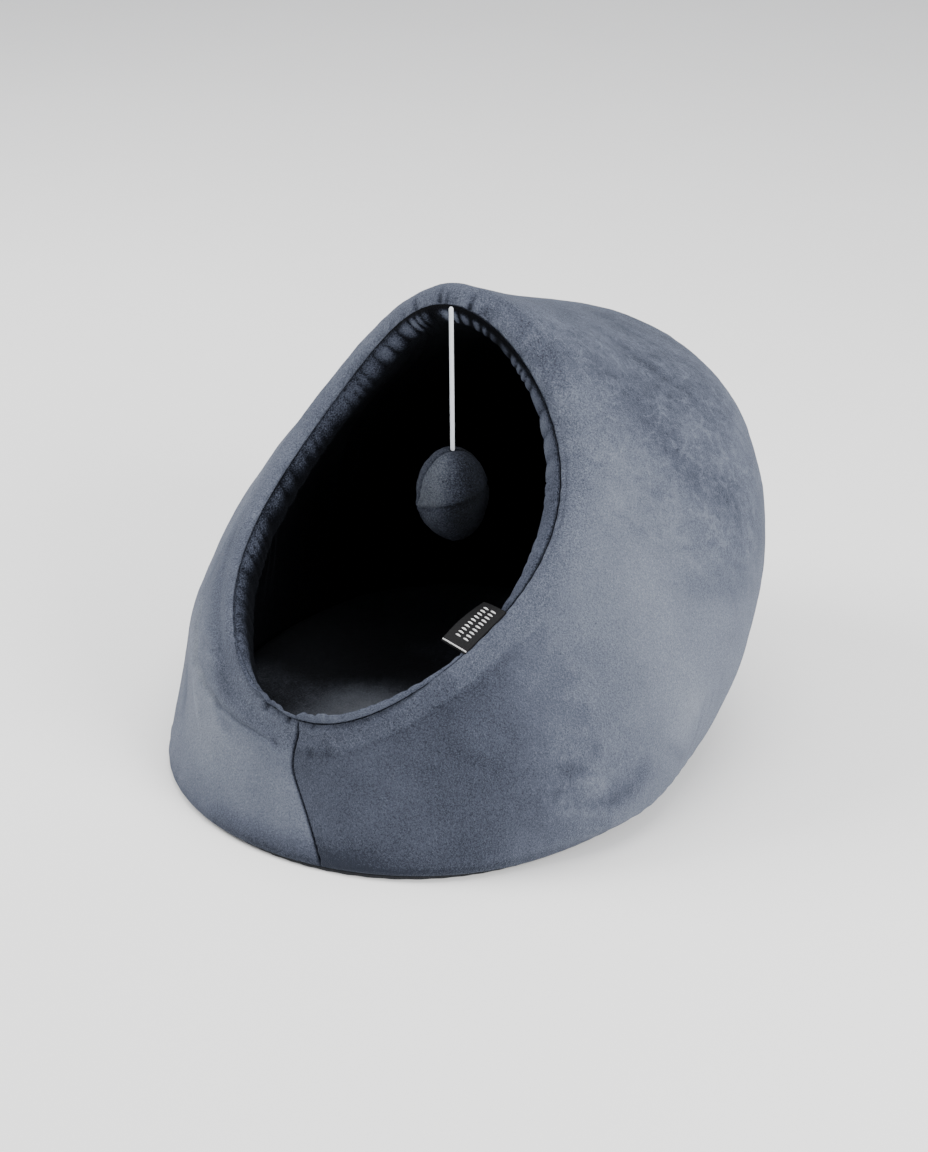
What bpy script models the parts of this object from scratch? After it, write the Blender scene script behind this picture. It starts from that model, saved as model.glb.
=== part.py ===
"""Plush cat cave: a padded velour igloo with a slanted mouth, a cushion and a toy on a cord.

Metres, +Z up. The floor is z = 0 and the mouth faces -Y. The origin is the bottom centre of the
whole cave. The angle round the cave, theta, starts at the front centre and grows towards +X, so
the back is at 180 degrees.
"""
import math

import bmesh
import bpy
import numpy as np
from mathutils import Vector

# ---- the cave's plan and height -------------------------------------------------------------
MIDDLE_X = -0.0058                   # the mouth's plane of symmetry
FOOT_MIDDLE_X = -0.0050              # the foot stands a little to the right of it
PLAN_CENTRE_Y = -0.0250              # centre that the foot radii are measured from
GAP = 0.0003                         # clearance between pieces that touch
BASE_THICKNESS = 0.003
BASE_INSET = 0.001                   # the bottom panel stops short of the wall's foot
WALL_FOOT_Z = BASE_THICKNESS + GAP

# Sections of the padded wall. Each is a cubic curve from the foot up to the rim's crest: it
# leaves the foot at foot_lean from the vertical (outwards) with a handle of foot_reach, and
# falls away from the crest at crest_lean from the vertical with a handle of crest_reach.
WALL_SECTIONS = (
    # angle, foot_radius, foot_lean, foot_reach, crest_lean, crest_reach   (degrees and metres)
    (0.0, 0.1981, -29.7, 0.0591, 27.2, 0.0258),
    (45.0, 0.1915, -9.0, 0.0757, 24.0, 0.0100),
    (90.0, 0.1716, 20.0, 0.1269, 28.4, 0.0362),
    (135.0, 0.1825, 22.9, 0.1940, 49.7, 0.1533),
    (180.0, 0.1912, 15.4, 0.2265, 63.6, 0.2284),
)

# ---- the mouth: the loop of the rim's stitched seam ------------------------------------------
LIP_Y, LIP_Z = -0.1835, 0.0822       # lowest, foremost point
TOP_Y, TOP_Z = -0.0023, 0.3081       # highest point
MOUTH_HALF_WIDTH = 0.1065
MOUTH_EGG = 0.0133                   # how much wider the loop is below its middle
MOUTH_PINCH = 0.0670                 # draws the loop in at its top and bottom
MOUTH_BOW = 0.0351                   # how far the loop dips behind the line from lip to top
MOUTH_BOW_SKEW = 1.1511              # moves that dip towards the top

# ---- the rolled rim and the walls' layers ----------------------------------------------------
RIM_WIDTH = 0.0137                   # from the seam out to the crest
RIM_DROP = 0.0062                    # how far the crest lies behind the seam
ROLL_FULLNESS = 0.0065               # handle length of the roll's curve
PADDING = 0.0220                     # whole wall, lining included
LINING_THICKNESS = 0.002
RIM_GROOVE_HALF = 0.0012             # half the width of the groove that the rim's seam lies in
RIM_GROOVE_DEPTH = 0.0026
LINING_EDGE_INSET = 0.0005           # the lining's edge stands in from the groove's middle

# ---- the front seam ---------------------------------------------------------------------------
FRONT_SEAM_FOOT_ANGLE = 12.0         # degrees towards +X at the floor, none at the rim
FRONT_SEAM_CURVE = 2.2               # over 1 keeps the seam upright for longer below the rim
FRONT_SEAM_SPREAD = 45.0             # degrees over which the cloth follows it
FRONT_SEAM_HALF_ANGLE = 1.1          # half the groove's width, in degrees
FRONT_SEAM_DEPTH = 0.0022
ROLL_SEAM_DEPTH = 0.0010             # where the seam runs over the rolled rim

# Soft hollows (negative) and swellings (positive) of the padding.
SOFT_PLACES = (
    # angle, height share, depth, angle spread, height spread   (degrees, 0 to 1, metres)
    (-105.0, 0.90, 0.0054, 30.0, 0.25),
    (-68.0, 0.20, -0.0055, 30.0, 0.20),
    (74.0, 0.06, 0.0085, 17.0, 0.12),
    (90.0, 0.18, 0.0100, 34.0, 0.25),
    (130.0, 0.15, 0.0058, 30.0, 0.25),
    (142.0, 0.72, 0.0150, 30.0, 0.25),
    (180.0, 0.50, 0.0296, 45.0, 0.30),
)
FOOT_HOLD = 0.03                     # height share below which the foot's seam holds them in

# ---- grid ---------------------------------------------------------------------------------------
COLUMNS = 64
OUTER_ROWS = 14
ROLL_ROWS = 4
LIP_ROWS = 4
INNER_ROWS = 7
SHARP_EDGE = 50.0                    # degrees, above which an edge is shaded sharp
SLOPE_STEP = 0.001                   # radians, for a loop's direction
NORMAL_STEP = 0.02                   # radians and shares, for the wall's direction

# ---- cushion ------------------------------------------------------------------------------------
CUSHION_CLEARANCE = 0.005            # from the lining
CUSHION_SEAM_Z = 0.020               # height of its widest ring
CUSHION_TOP_Z = 0.043
CUSHION_SIDE_POWER = 0.42            # under 1 keeps the pad full out to its edge
CUSHION_SEGMENTS = 40
CUSHION_RINGS = 12

# ---- toy ----------------------------------------------------------------------------------------
CORD_DIAMETER = 0.003
CORD_TOP_X = -0.0038                 # the cord hangs a little askew
TOY_X = -0.0029
CORD_FORWARD = 0.0060                # from the rim seam's top point to the cord's axis
CORD_START_BELOW = 0.0020            # below the rim seam's top point
BALL_RADIUS = 0.0245
BALL_HEIGHT = 0.067
BALL_CENTRE_Z = 0.1752
BALL_SEAM_DEPTH = 0.0012
BALL_SEAM_SHARE = 0.08               # of the half height, that the seam's pinch spreads over
BALL_SEGMENTS = 24
BALL_RINGS = 14
CORD_POINTS = 16

# ---- label --------------------------------------------------------------------------------------
LABEL_LENGTH = 0.038
LABEL_DEPTH = 0.027
LABEL_THICKNESS = 0.0012
LABEL_ANGLE = 68.0                   # degrees round the mouth to the label's middle
LABEL_RISE = 0.0024                  # its root stands clear of the lining's lip
LABEL_TILT = -20.0                   # leans into the cave, in degrees

# ---- colours (linear) -------------------------------------------------------------------------
VELOUR = (0.165, 0.195, 0.245)
LINING_VELOUR = (0.110, 0.130, 0.165)
DARK_CLOTH = (0.020, 0.021, 0.024)
WHITE_ELASTIC = (0.80, 0.80, 0.80)
BLACK_TAPE = (0.012, 0.012, 0.013)

TABLE = np.array(WALL_SECTIONS)
STATIONS = np.radians(TABLE[:, 0])
SERIES = np.linalg.inv(np.cos(np.outer(STATIONS, np.arange(len(STATIONS)))))


# ---- helpers ------------------------------------------------------------------------------------
def unit(vectors):
    """Vectors scaled to length one."""
    return vectors / np.linalg.norm(vectors, axis=-1, keepdims=True)


def around(values, theta):
    """Smooth even interpolation of one value per station: a cosine series through them."""
    orders = np.arange(len(STATIONS))
    return np.cos(np.multiply.outer(theta, orders)) @ (SERIES @ np.asarray(values))


def foot_loop(theta):
    """The foot of the wall on the floor, an oval given by its radius at each station."""
    radius = around(TABLE[:, 1], theta)
    return np.stack([FOOT_MIDDLE_X + radius * np.sin(theta), PLAN_CENTRE_Y - radius * np.cos(theta),
                     np.zeros_like(theta)], axis=-1)


def foot_outward(theta, step=SLOPE_STEP):
    """Level unit vectors that point straight out of the foot loop."""
    along = unit(foot_loop(theta + step) - foot_loop(theta - step))
    return np.cross(along, (0.0, 0.0, 1.0))


def mouth_normal():
    """Unit normal of the mouth's mean plane, pointing out of the cave."""
    along = unit(np.array([0.0, TOP_Y - LIP_Y, TOP_Z - LIP_Z]))
    return np.array([0.0, -along[2], along[1]])


def mouth_loop(theta):
    """The rim seam: an egg drawn in at its ends, dipping back between the lip and the top."""
    cosine, sine = np.cos(theta), np.sin(theta)
    share = (1 - cosine) / 2
    lip = np.array([0.0, LIP_Y, LIP_Z])
    top = np.array([0.0, TOP_Y, TOP_Z])
    dip = MOUTH_BOW * 4 * share * (1 - share) * (1 + MOUTH_BOW_SKEW * (2 * share - 1))
    points = lip + (top - lip) * share[..., None] - mouth_normal() * dip[..., None]
    width = MOUTH_HALF_WIDTH * (1 + MOUTH_EGG * cosine - MOUTH_PINCH * cosine ** 2)
    points[..., 0] = MIDDLE_X + width * sine
    return points


def mouth_frame(theta, step=SLOPE_STEP):
    """Seam points, unit vectors away from the mouth's middle, and unit vectors out of it."""
    points = mouth_loop(theta)
    along = unit(mouth_loop(theta + step) - mouth_loop(theta - step))
    away = unit(np.cross(along, mouth_normal()))
    return points, away, np.cross(away, along)


def seam_shift(theta, share):
    """Turn of the cloth's columns that lets the middle one follow the leaning front seam."""
    wrapped = (theta + math.pi) % (2 * math.pi) - math.pi
    fade = np.exp(-(wrapped / math.radians(FRONT_SEAM_SPREAD)) ** 2)
    lean = math.radians(FRONT_SEAM_FOOT_ANGLE) * (1 - share) ** FRONT_SEAM_CURVE
    return theta + lean * fade


def falling_away(theta):
    """Unit vectors along which the wall falls away from the rim's crest."""
    lean = np.radians(around(TABLE[:, 4], theta))
    level = np.sin(lean)
    return np.stack([np.sin(theta) * level, -np.cos(theta) * level, -np.cos(lean)], axis=-1)


def wall_point(theta, share):
    """Outer face of the wall: share 0 is the foot and share 1 the rim's crest."""
    seam, away, out = mouth_frame(theta)
    foot = foot_loop(theta) + (0.0, 0.0, WALL_FOOT_Z)
    crest = seam + away * RIM_WIDTH - out * RIM_DROP
    foot_lean = np.radians(around(TABLE[:, 2], theta))[..., None]
    foot_reach = around(TABLE[:, 3], theta)[..., None]
    crest_reach = around(TABLE[:, 5], theta)[..., None]
    up = np.array([0.0, 0.0, 1.0])
    low = foot + (foot_outward(theta) * np.sin(foot_lean) + up * np.cos(foot_lean)) * foot_reach
    high = crest + falling_away(theta) * crest_reach
    s = share[..., None]
    return ((1 - s) ** 3 * foot + 3 * (1 - s) ** 2 * s * low
            + 3 * (1 - s) * s ** 2 * high + s ** 3 * crest)


def wall_normal(theta, share, step=NORMAL_STEP):
    """Outward unit normals of the wall's outer face."""
    round_it = wall_point(theta + step, share) - wall_point(theta - step, share)
    upper, lower = np.minimum(share + step, 1.0), np.maximum(share - step, 0.0)
    up_it = wall_point(theta, upper) - wall_point(theta, lower)
    return unit(np.cross(round_it, up_it))


def padding_swell(theta, share):
    """Sum of the soft hollows and swellings, each a smooth round hump, held in at the foot's seam."""
    total = np.zeros(np.broadcast(theta, share).shape)
    for angle, height, depth, angle_spread, height_spread in SOFT_PLACES:
        turn = (theta - math.radians(angle) + math.pi) % (2 * math.pi) - math.pi
        total += depth * np.exp(-(turn / math.radians(angle_spread)) ** 2
                                - ((share - height) / height_spread) ** 2)
    return total * (1 - np.exp(-(share / FOOT_HOLD) ** 2))


def outer_face(theta, share, turned=None):
    """Points and outward unit normals of the padded outer face.

    The swellings are placed by theta, and the points by the turned angle, where it is given.
    """
    turned = theta if turned is None else turned
    normal = wall_normal(turned, share)
    return wall_point(turned, share) + normal * padding_swell(theta, share)[..., None], normal


# ---- grids of the wall and lining ------------------------------------------------------------
def column_angles():
    """Angles of the grid's columns: even, with a close pair beside the front seam."""
    half = math.radians(FRONT_SEAM_HALF_ANGLE)
    even = np.linspace(0.0, 2 * math.pi, COLUMNS - 2, endpoint=False)[1:]
    return np.concatenate([[0.0, half], even, [2 * math.pi - half]])


def outer_rows(angles):
    """Outer face from the foot to the crest, with the front seam's groove."""
    shares = np.linspace(0.0, 1.0, OUTER_ROWS)
    share, theta = np.meshgrid(shares, angles, indexing="ij")
    rows, normal = outer_face(theta, share, seam_shift(theta, share))
    rows[:, 0] -= normal[:, 0] * FRONT_SEAM_DEPTH
    rows[0, :, 2] = WALL_FOOT_Z
    return rows


def roll_rows(angles):
    """The rim from the crest over to the seam, and the groove's outer side.

    A cubic curve that goes on from the wall at the crest and comes in level at the seam.
    """
    seam, away, out = mouth_frame(angles)
    t = np.linspace(0.0, 1.0, ROLL_ROWS + 1)[1:, None, None]
    crest = seam + away * RIM_WIDTH - out * RIM_DROP
    end = seam + away * RIM_GROOVE_HALF
    over = crest - falling_away(angles) * ROLL_FULLNESS
    level = end + away * ROLL_FULLNESS
    roll = ((1 - t) ** 3 * crest + 3 * (1 - t) ** 2 * t * over
            + 3 * (1 - t) * t ** 2 * level + t ** 3 * end)
    roll += (1 - t) * away * padding_swell(angles, np.ones_like(angles))[:, None]
    roll[:, 0] -= (away[0] + out[0]) * ROLL_SEAM_DEPTH
    bottom = seam + away * RIM_GROOVE_HALF - out * RIM_GROOVE_DEPTH
    return np.concatenate([roll, bottom[None]])


def lining_rows(angles, depth):
    """The lining's face, or a face that deep behind it: from the groove over the lip and down.

    The lip is a quadratic curve from the seam to the inner face's top. The inner face is the
    wall's outer face moved in by the padding, and ends just above the bottom panel.
    """
    seam, away, out = mouth_frame(angles)
    crest, normal = outer_face(angles, np.ones_like(angles))
    edge = seam - away * LINING_EDGE_INSET - out * (GAP + depth)
    inner_top = crest - normal * (PADDING - depth)
    reach = ((inner_top - edge) * away).sum(axis=-1, keepdims=True)
    corner = edge + away * reach
    t = np.linspace(0.0, 1.0, LIP_ROWS + 1)[:, None, None]
    lip = (1 - t) ** 2 * edge + 2 * (1 - t) * t * corner + t ** 2 * inner_top
    shares = np.linspace(1.0, 0.0, INNER_ROWS + 1)[1:]
    share, theta = np.meshgrid(shares, angles, indexing="ij")
    face, normal = outer_face(theta, share)
    inner = face - normal * (PADDING - depth)
    inner[-1, :, 2] = WALL_FOOT_Z
    return np.concatenate([lip, inner])


def inside_radius(angle, height):
    """Level distance from the plan's centre to the lining, at one angle and height."""
    shares = np.linspace(0.0, 1.0, INNER_ROWS + 1)
    face, normal = outer_face(np.full_like(shares, angle), shares)
    inner = face - normal * PADDING
    radius = np.hypot(inner[:, 0] - MIDDLE_X, inner[:, 1] - PLAN_CENTRE_Y)
    return np.interp(height, inner[:, 2], radius)


# ---- building objects ---------------------------------------------------------------------------
def make_material(name, colour, roughness):
    """A plain Principled material."""
    material = bpy.data.materials.new(name)
    material.use_nodes = True
    shader = material.node_tree.nodes["Principled BSDF"]
    shader.inputs["Base Color"].default_value = (*colour, 1.0)
    shader.inputs["Roughness"].default_value = roughness
    shader.inputs["Metallic"].default_value = 0.0
    material.diffuse_color = (*colour, 1.0)
    return material


def add_object(name, data, collection, material):
    """Put a mesh or curve into the scene under its name, with its material."""
    obj = bpy.data.objects.new(name, data)
    data.materials.append(material)
    collection.objects.link(obj)
    return obj


def ring_grid_mesh(name, grid, flip=False):
    """Closed ring-shaped surface: the grid wraps round both its rows and its columns.

    Each cell is cut along the same diagonal, so that two layers on like grids stay parallel.
    """
    rows, columns = grid.shape[:2]
    row, column = np.meshgrid(np.arange(rows), np.arange(columns), indexing="ij")
    next_row, next_column = (row + 1) % rows, (column + 1) % columns
    near, beside = row * columns + column, row * columns + next_column
    above, across = next_row * columns + column, next_row * columns + next_column
    faces = np.concatenate([np.stack([near, beside, across], axis=-1).reshape(-1, 3),
                            np.stack([near, across, above], axis=-1).reshape(-1, 3)])
    if flip:
        faces = faces[:, ::-1]
    mesh = bpy.data.meshes.new(name)
    mesh.from_pydata(grid.reshape(-1, 3).tolist(), [], faces.tolist())
    mesh.shade_smooth()
    mesh.set_sharp_from_angle(angle=math.radians(SHARP_EDGE))
    return mesh


def build_shell(collection, material):
    """Padded wall: outer face, rolled rim, groove, and the face behind the lining."""
    angles = column_angles()
    behind = lining_rows(angles, LINING_THICKNESS + GAP)
    grid = np.concatenate([outer_rows(angles), roll_rows(angles), behind])
    return add_object("outer_shell", ring_grid_mesh("outer_shell", grid), collection, material)


def build_lining(collection, material):
    """Lining: a thin sheet that covers the inside from the rim's groove to the floor."""
    angles = column_angles()
    face = lining_rows(angles, 0.0)
    back = lining_rows(angles, LINING_THICKNESS)
    grid = np.concatenate([back, face[::-1]])
    return add_object("lining", ring_grid_mesh("lining", grid, flip=True), collection, material)


def build_base(collection, material):
    """Thin flat bottom panel."""
    curve = bpy.data.curves.new("base", "CURVE")
    curve.dimensions = "2D"
    curve.fill_mode = "BOTH"
    curve.extrude = BASE_THICKNESS / 2
    angles = np.linspace(0.0, 2 * math.pi, COLUMNS, endpoint=False)
    foot, _ = outer_face(angles, np.zeros_like(angles))
    points = foot - foot_outward(angles) * BASE_INSET
    spline = curve.splines.new("POLY")
    spline.points.add(len(points) - 1)
    for slot, point in zip(spline.points, points):
        slot.co = (point[0], point[1], 0.0, 1.0)
    spline.use_cyclic_u = True
    obj = add_object("base", curve, collection, material)
    obj.location.z = BASE_THICKNESS / 2
    return obj


def build_cushion(collection, material):
    """Filled oval pad: a sphere's rings spread over the floor's outline, crowned on top."""
    bm = bmesh.new()
    bmesh.ops.create_uvsphere(bm, u_segments=CUSHION_SEGMENTS, v_segments=CUSHION_RINGS, radius=1.0)
    for vert in bm.verts:
        x, y, z = vert.co
        level = math.hypot(x, y)
        theta = math.atan2(x, -y)
        spread = level ** CUSHION_SIDE_POWER if level > 1e-6 else 0.0
        rise = CUSHION_TOP_Z - CUSHION_SEAM_Z if z > 0 else CUSHION_SEAM_Z - WALL_FOOT_Z
        height = CUSHION_SEAM_Z + rise * z
        radius = (inside_radius(theta, height) - CUSHION_CLEARANCE) * spread
        vert.co = (MIDDLE_X + radius * math.sin(theta), PLAN_CENTRE_Y - radius * math.cos(theta), height)
    mesh = bpy.data.meshes.new("cushion")
    bm.to_mesh(mesh)
    bm.free()
    mesh.shade_smooth()
    return add_object("cushion", mesh, collection, material)


def build_ball(collection, material):
    """Stuffed toy: a sphere drawn out upwards, pinched a little at its seam."""
    bm = bmesh.new()
    bmesh.ops.create_uvsphere(bm, u_segments=BALL_SEGMENTS, v_segments=BALL_RINGS, radius=1.0)
    for vert in bm.verts:
        pinch = 1.0 - BALL_SEAM_DEPTH / BALL_RADIUS * math.exp(-(vert.co.z / BALL_SEAM_SHARE) ** 2)
        vert.co.x *= BALL_RADIUS * pinch
        vert.co.y *= BALL_RADIUS * pinch
        vert.co.z *= BALL_HEIGHT / 2
    mesh = bpy.data.meshes.new("toy_ball")
    bm.to_mesh(mesh)
    bm.free()
    mesh.shade_smooth()
    obj = add_object("toy_ball", mesh, collection, material)
    obj.location = (TOY_X, TOP_Y - CORD_FORWARD, BALL_CENTRE_Z)
    return obj


def build_cord(collection, material):
    """Elastic cord that hangs down from the top of the rim seam to the toy."""
    top = TOP_Z - CORD_START_BELOW
    bottom = BALL_CENTRE_Z + BALL_HEIGHT / 2 + GAP
    along = np.linspace(0.0, 1.0, CORD_POINTS)
    curve = bpy.data.curves.new("toy_cord", "CURVE")
    curve.dimensions = "3D"
    curve.bevel_depth = CORD_DIAMETER / 2
    curve.bevel_resolution = 2
    curve.use_fill_caps = True
    spline = curve.splines.new("POLY")
    spline.points.add(CORD_POINTS - 1)
    for slot, share in zip(spline.points, along):
        x = CORD_TOP_X + (TOY_X - CORD_TOP_X) * share
        slot.co = (x, TOP_Y - CORD_FORWARD, top + (bottom - top) * share, 1.0)
    return add_object("toy_cord", curve, collection, material)


def build_label(collection, material):
    """Folded tab sewn along the rim seam, a thin slab that leans into the mouth."""
    middle = math.radians(LABEL_ANGLE)
    seam, away, out = (rows[0] for rows in mouth_frame(np.array([middle])))
    tilt = math.radians(LABEL_TILT)
    inward = -away * math.cos(tilt) + out * math.sin(tilt)
    along = unit(np.cross(out, away))
    start = seam + out * LABEL_RISE - along * LABEL_LENGTH / 2
    bm = bmesh.new()
    bmesh.ops.create_cube(bm, size=1.0)
    upward = np.cross(inward, along)
    for vert in bm.verts:
        x, y, z = vert.co + Vector((0.5, 0.5, 0.0))
        vert.co = (start + along * x * LABEL_LENGTH + inward * y * LABEL_DEPTH
                   + upward * z * LABEL_THICKNESS)
    bmesh.ops.recalc_face_normals(bm, faces=bm.faces)
    mesh = bpy.data.meshes.new("label")
    bm.to_mesh(mesh)
    bm.free()
    return add_object("label", mesh, collection, material)


def main():
    """Clear the scene and build the cave."""
    for obj in list(bpy.data.objects):
        bpy.data.objects.remove(obj, do_unlink=True)
    collection = bpy.data.collections.new("cat_cave")
    bpy.context.scene.collection.children.link(collection)
    build_shell(collection, make_material("velour", VELOUR, 0.9))
    build_lining(collection, make_material("lining_velour", LINING_VELOUR, 0.9))
    build_base(collection, make_material("dark_cloth", DARK_CLOTH, 0.85))
    build_cushion(collection, make_material("cushion_velour", LINING_VELOUR, 0.9))
    build_ball(collection, make_material("toy_velour", LINING_VELOUR, 0.9))
    build_cord(collection, make_material("white_elastic", WHITE_ELASTIC, 0.7))
    build_label(collection, make_material("black_tape", BLACK_TAPE, 0.6))


main()
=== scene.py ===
"""Padded plush cat cave: velour skin, gathered lining, cushion, toy on its elastic, and label.

Metres, +Z up, the mouth faces -Y. The angle round the cave, theta, starts at the front centre and
grows towards +X. A height share runs up the wall's outer face, from 0 at the foot to 1 at the
crest of the rolled rim.
"""
import math

import bpy
import numpy as np
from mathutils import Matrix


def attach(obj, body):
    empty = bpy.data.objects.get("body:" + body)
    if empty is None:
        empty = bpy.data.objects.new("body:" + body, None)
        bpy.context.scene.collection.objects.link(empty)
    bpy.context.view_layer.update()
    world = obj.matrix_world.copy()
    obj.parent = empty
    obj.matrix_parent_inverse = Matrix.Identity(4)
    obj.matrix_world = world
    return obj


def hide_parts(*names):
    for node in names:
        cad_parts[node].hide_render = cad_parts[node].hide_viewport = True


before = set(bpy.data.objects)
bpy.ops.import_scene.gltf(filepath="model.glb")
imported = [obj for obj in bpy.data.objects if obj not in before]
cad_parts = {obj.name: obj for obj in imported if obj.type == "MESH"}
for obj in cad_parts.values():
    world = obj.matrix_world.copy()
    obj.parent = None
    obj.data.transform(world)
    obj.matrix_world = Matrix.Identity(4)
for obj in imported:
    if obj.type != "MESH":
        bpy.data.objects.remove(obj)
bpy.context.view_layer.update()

# ---- the cave's plan and height, as in the part -------------------------------------------------
MIDDLE_X = -0.0058
FOOT_MIDDLE_X = -0.0050
PLAN_CENTRE_Y = -0.0250
GAP = 0.0003
BASE_THICKNESS = 0.003
WALL_FOOT_Z = BASE_THICKNESS + GAP

WALL_SECTIONS = (
    # angle, foot_radius, foot_lean, foot_reach, crest_lean, crest_reach   (degrees and metres)
    (0.0, 0.1981, -29.7, 0.0591, 27.2, 0.0258),
    (45.0, 0.1915, -9.0, 0.0757, 24.0, 0.0100),
    (90.0, 0.1716, 20.0, 0.1269, 28.4, 0.0362),
    (135.0, 0.1825, 22.9, 0.1940, 49.7, 0.1533),
    (180.0, 0.1912, 15.4, 0.2265, 63.6, 0.2284),
)

LIP_Y, LIP_Z = -0.1835, 0.0822
TOP_Y, TOP_Z = -0.0023, 0.3081
MOUTH_HALF_WIDTH = 0.1065
MOUTH_EGG = 0.0133
MOUTH_PINCH = 0.0670
MOUTH_BOW = 0.0351
MOUTH_BOW_SKEW = 1.1511

RIM_WIDTH = 0.0137
RIM_DROP = 0.0062
ROLL_FULLNESS = 0.0065
PADDING = 0.0220
LINING_THICKNESS = 0.002
RIM_GROOVE_DEPTH = 0.0026
LINING_EDGE_INSET = 0.0005

FRONT_SEAM_FOOT_ANGLE = 12.0
FRONT_SEAM_CURVE = 2.2
FRONT_SEAM_SPREAD = 45.0

SOFT_PLACES = (
    # angle, height share, depth, angle spread, height spread   (degrees, 0 to 1, metres)
    (-105.0, 0.90, 0.0054, 30.0, 0.25),
    (-68.0, 0.20, -0.0055, 30.0, 0.20),
    (74.0, 0.06, 0.0085, 17.0, 0.12),
    (90.0, 0.18, 0.0100, 34.0, 0.25),
    (130.0, 0.15, 0.0058, 30.0, 0.25),
    (142.0, 0.72, 0.0150, 30.0, 0.25),
    (180.0, 0.50, 0.0296, 45.0, 0.30),
)
FOOT_HOLD = 0.03

CUSHION_CLEARANCE = 0.005
CUSHION_SEAM_Z = 0.020
CUSHION_TOP_Z = 0.043
CUSHION_SIDE_POWER = 0.42

CORD_DIAMETER = 0.003
CORD_TOP_X = -0.0038
TOY_X = -0.0029
CORD_FORWARD = 0.0060
BALL_RADIUS = 0.0245
BALL_HEIGHT = 0.067
BALL_CENTRE_Z = 0.1752

LABEL_LENGTH = 0.038
LABEL_DEPTH = 0.027
LABEL_ANGLE = 68.0
LABEL_RISE = 0.0024
LABEL_TILT = -20.0

# ---- camera, fitted to the photograph ----------------------------------------------------------
CAMERA_TURN = 33.47                  # degrees from the front towards +X
CAMERA_RISE = 26.58                  # degrees above level
CAMERA_DISTANCE = 1.5632
CAMERA_SIDE = 0.0193                 # how far the picture's middle lies right of the plan's centre
CAMERA_LIFT = 0.1061                 # and above it
CAMERA_LENS = 68.75                  # mm, on a sensor 36 mm high
UP = np.array([0.0, 0.0, 1.0])

# ---- sewing and cloth ----------------------------------------------------------------------------
SHELL_COLUMNS = 600
WALL_ROWS = 101
ROLL_ROWS = 22
GROOVE_ROWS = 4
HIDDEN_LIP_ROWS = 6
HIDDEN_ROWS = 24
HIDDEN_DEPTH = LINING_THICKNESS + 0.0010   # of the skin's hidden face, behind the lining
SEAM_CROWDING = 4.0                  # the columns stand 1 + this times as close at the front seam
SEAM_CROWDING_SPREAD = 2.4           # degrees
FOOT_TURN_SHARE = 0.035              # height share at which the skin starts to turn under
FOOT_TURN_ROWS = 6
FOOT_TURN_IN = 0.0042                # how far under it turns
FOOT_DROOP_FRONT = 0.0001            # how far the skin hangs below the wall's foot in front
FOOT_DROOP_SIDES = 0.0028            # and at the sides and back, where it meets the floor
FOOT_OFF_FLOOR = 0.0004              # the skin's lowest edge stays this far over the floor
FOOT_FRONT = (16.0, 40.0)            # angle and spread of the front, where the bottom panel shows
BASE_EDGE_IN = 0.0055                # the bottom panel's edge lies this far in from the foot
BASE_EDGE_IN_FRONT = 0.0026
RIM_BAND = 0.02                      # share of the wall's height that the rolled rim takes up
RIM_BAND_LEFT = 0.49                 # and how much more where the rim slumps, at the front left
RIM_BAND_LEFT_ANGLE = -48.0
RIM_BAND_LEFT_SPREAD = 30.0
RIM_FADE = 0.16                      # share of the height over which the band's look gives way
RIM_BAND_DEPTH = 0.0004              # crease below the roll
RIM_BAND_LEFT_DEPTH = 0.0034
RIM_BULGE_LEFT = 0.0022              # the slumped rim stands this much fuller at its middle
WRAPPED = (-70.0, -54.0, -17.0, -8.0)  # angles between which the rim's seam is rolled out of sight

FRONT_GROOVE_DEPTH = 0.0024
FRONT_GROOVE_HALF = 0.0009
FRONT_SHOULDER_DEPTH = 0.0013        # the soft slope down to the groove on both sides
FRONT_SHOULDER_HALF = 0.0075
FRONT_STITCH_PITCH = 0.0023
FRONT_STITCH_NOTCH = 0.35            # how much deeper the groove is at a stitch
FRONT_SEAM_HOLD = 0.012              # no folds run within about this of the seam
FRONT_SEAM_SHADE = 0.34              # painted shade: how much darker the front seam is
FRONT_SEAM_SHADE_HALF = 0.0013
RIM_PUCKER_COUNT = 66
RIM_PUCKER_DEPTH = 0.00045
RIM_PUCKER_REACH = 0.0060
FOOT_PUCKER_COUNT = 84
FOOT_PUCKER_DEPTH = 0.0006
FOOT_PUCKER_REACH = 0.05             # in shares of the height
TOP_FILL = 0.0022                    # keeps the outline full just behind the top of the rim
TOP_FILL_ANGLE = (160.0, 15.0)       # where it is fullest, and its spread
TOP_FILL_SHARE = (0.97, 0.08)
RIM_NAP = -0.09                      # the rolled rim's pile stands up and looks darker
RIM_NAP_LEFT = -0.10                 # and this much more where the rim slumps
BAND_LINE_HALF = 0.028               # half width of the crease below the roll, in shares
BAND_EDGE_NAP = 0.09                 # pressed pale line where the roll ends
BAND_EDGE_DOWN = 0.02                # how far below the crease it runs
BAND_EDGE_HALF = 0.016
SKIN_UNEVENNESS = (
    # depth and wavelength in metres, number of waves, seed
    (0.0011, 0.110, 10, 21),
    (0.00035, 0.038, 14, 22),
    (0.00010, 0.013, 16, 23),
)
SKIN_NAP_RIPPLES = ((0.030, 0.075, 16, 5), (0.022, 0.028, 18, 6))

TABLE = np.array(WALL_SECTIONS)
STATIONS = np.radians(TABLE[:, 0])
SERIES = np.linalg.inv(np.cos(np.outer(STATIONS, np.arange(len(STATIONS)))))


# ---- helpers --------------------------------------------------------------------------------------
def unit(vectors):
    """Vectors scaled to length one."""
    return vectors / np.linalg.norm(vectors, axis=-1, keepdims=True)


def rise(value, low, high):
    """0 below low, 1 above high, and a smooth cubic rise between them."""
    t = np.clip((value - low) / (high - low), 0.0, 1.0)
    return t * t * (3 - 2 * t)


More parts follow.
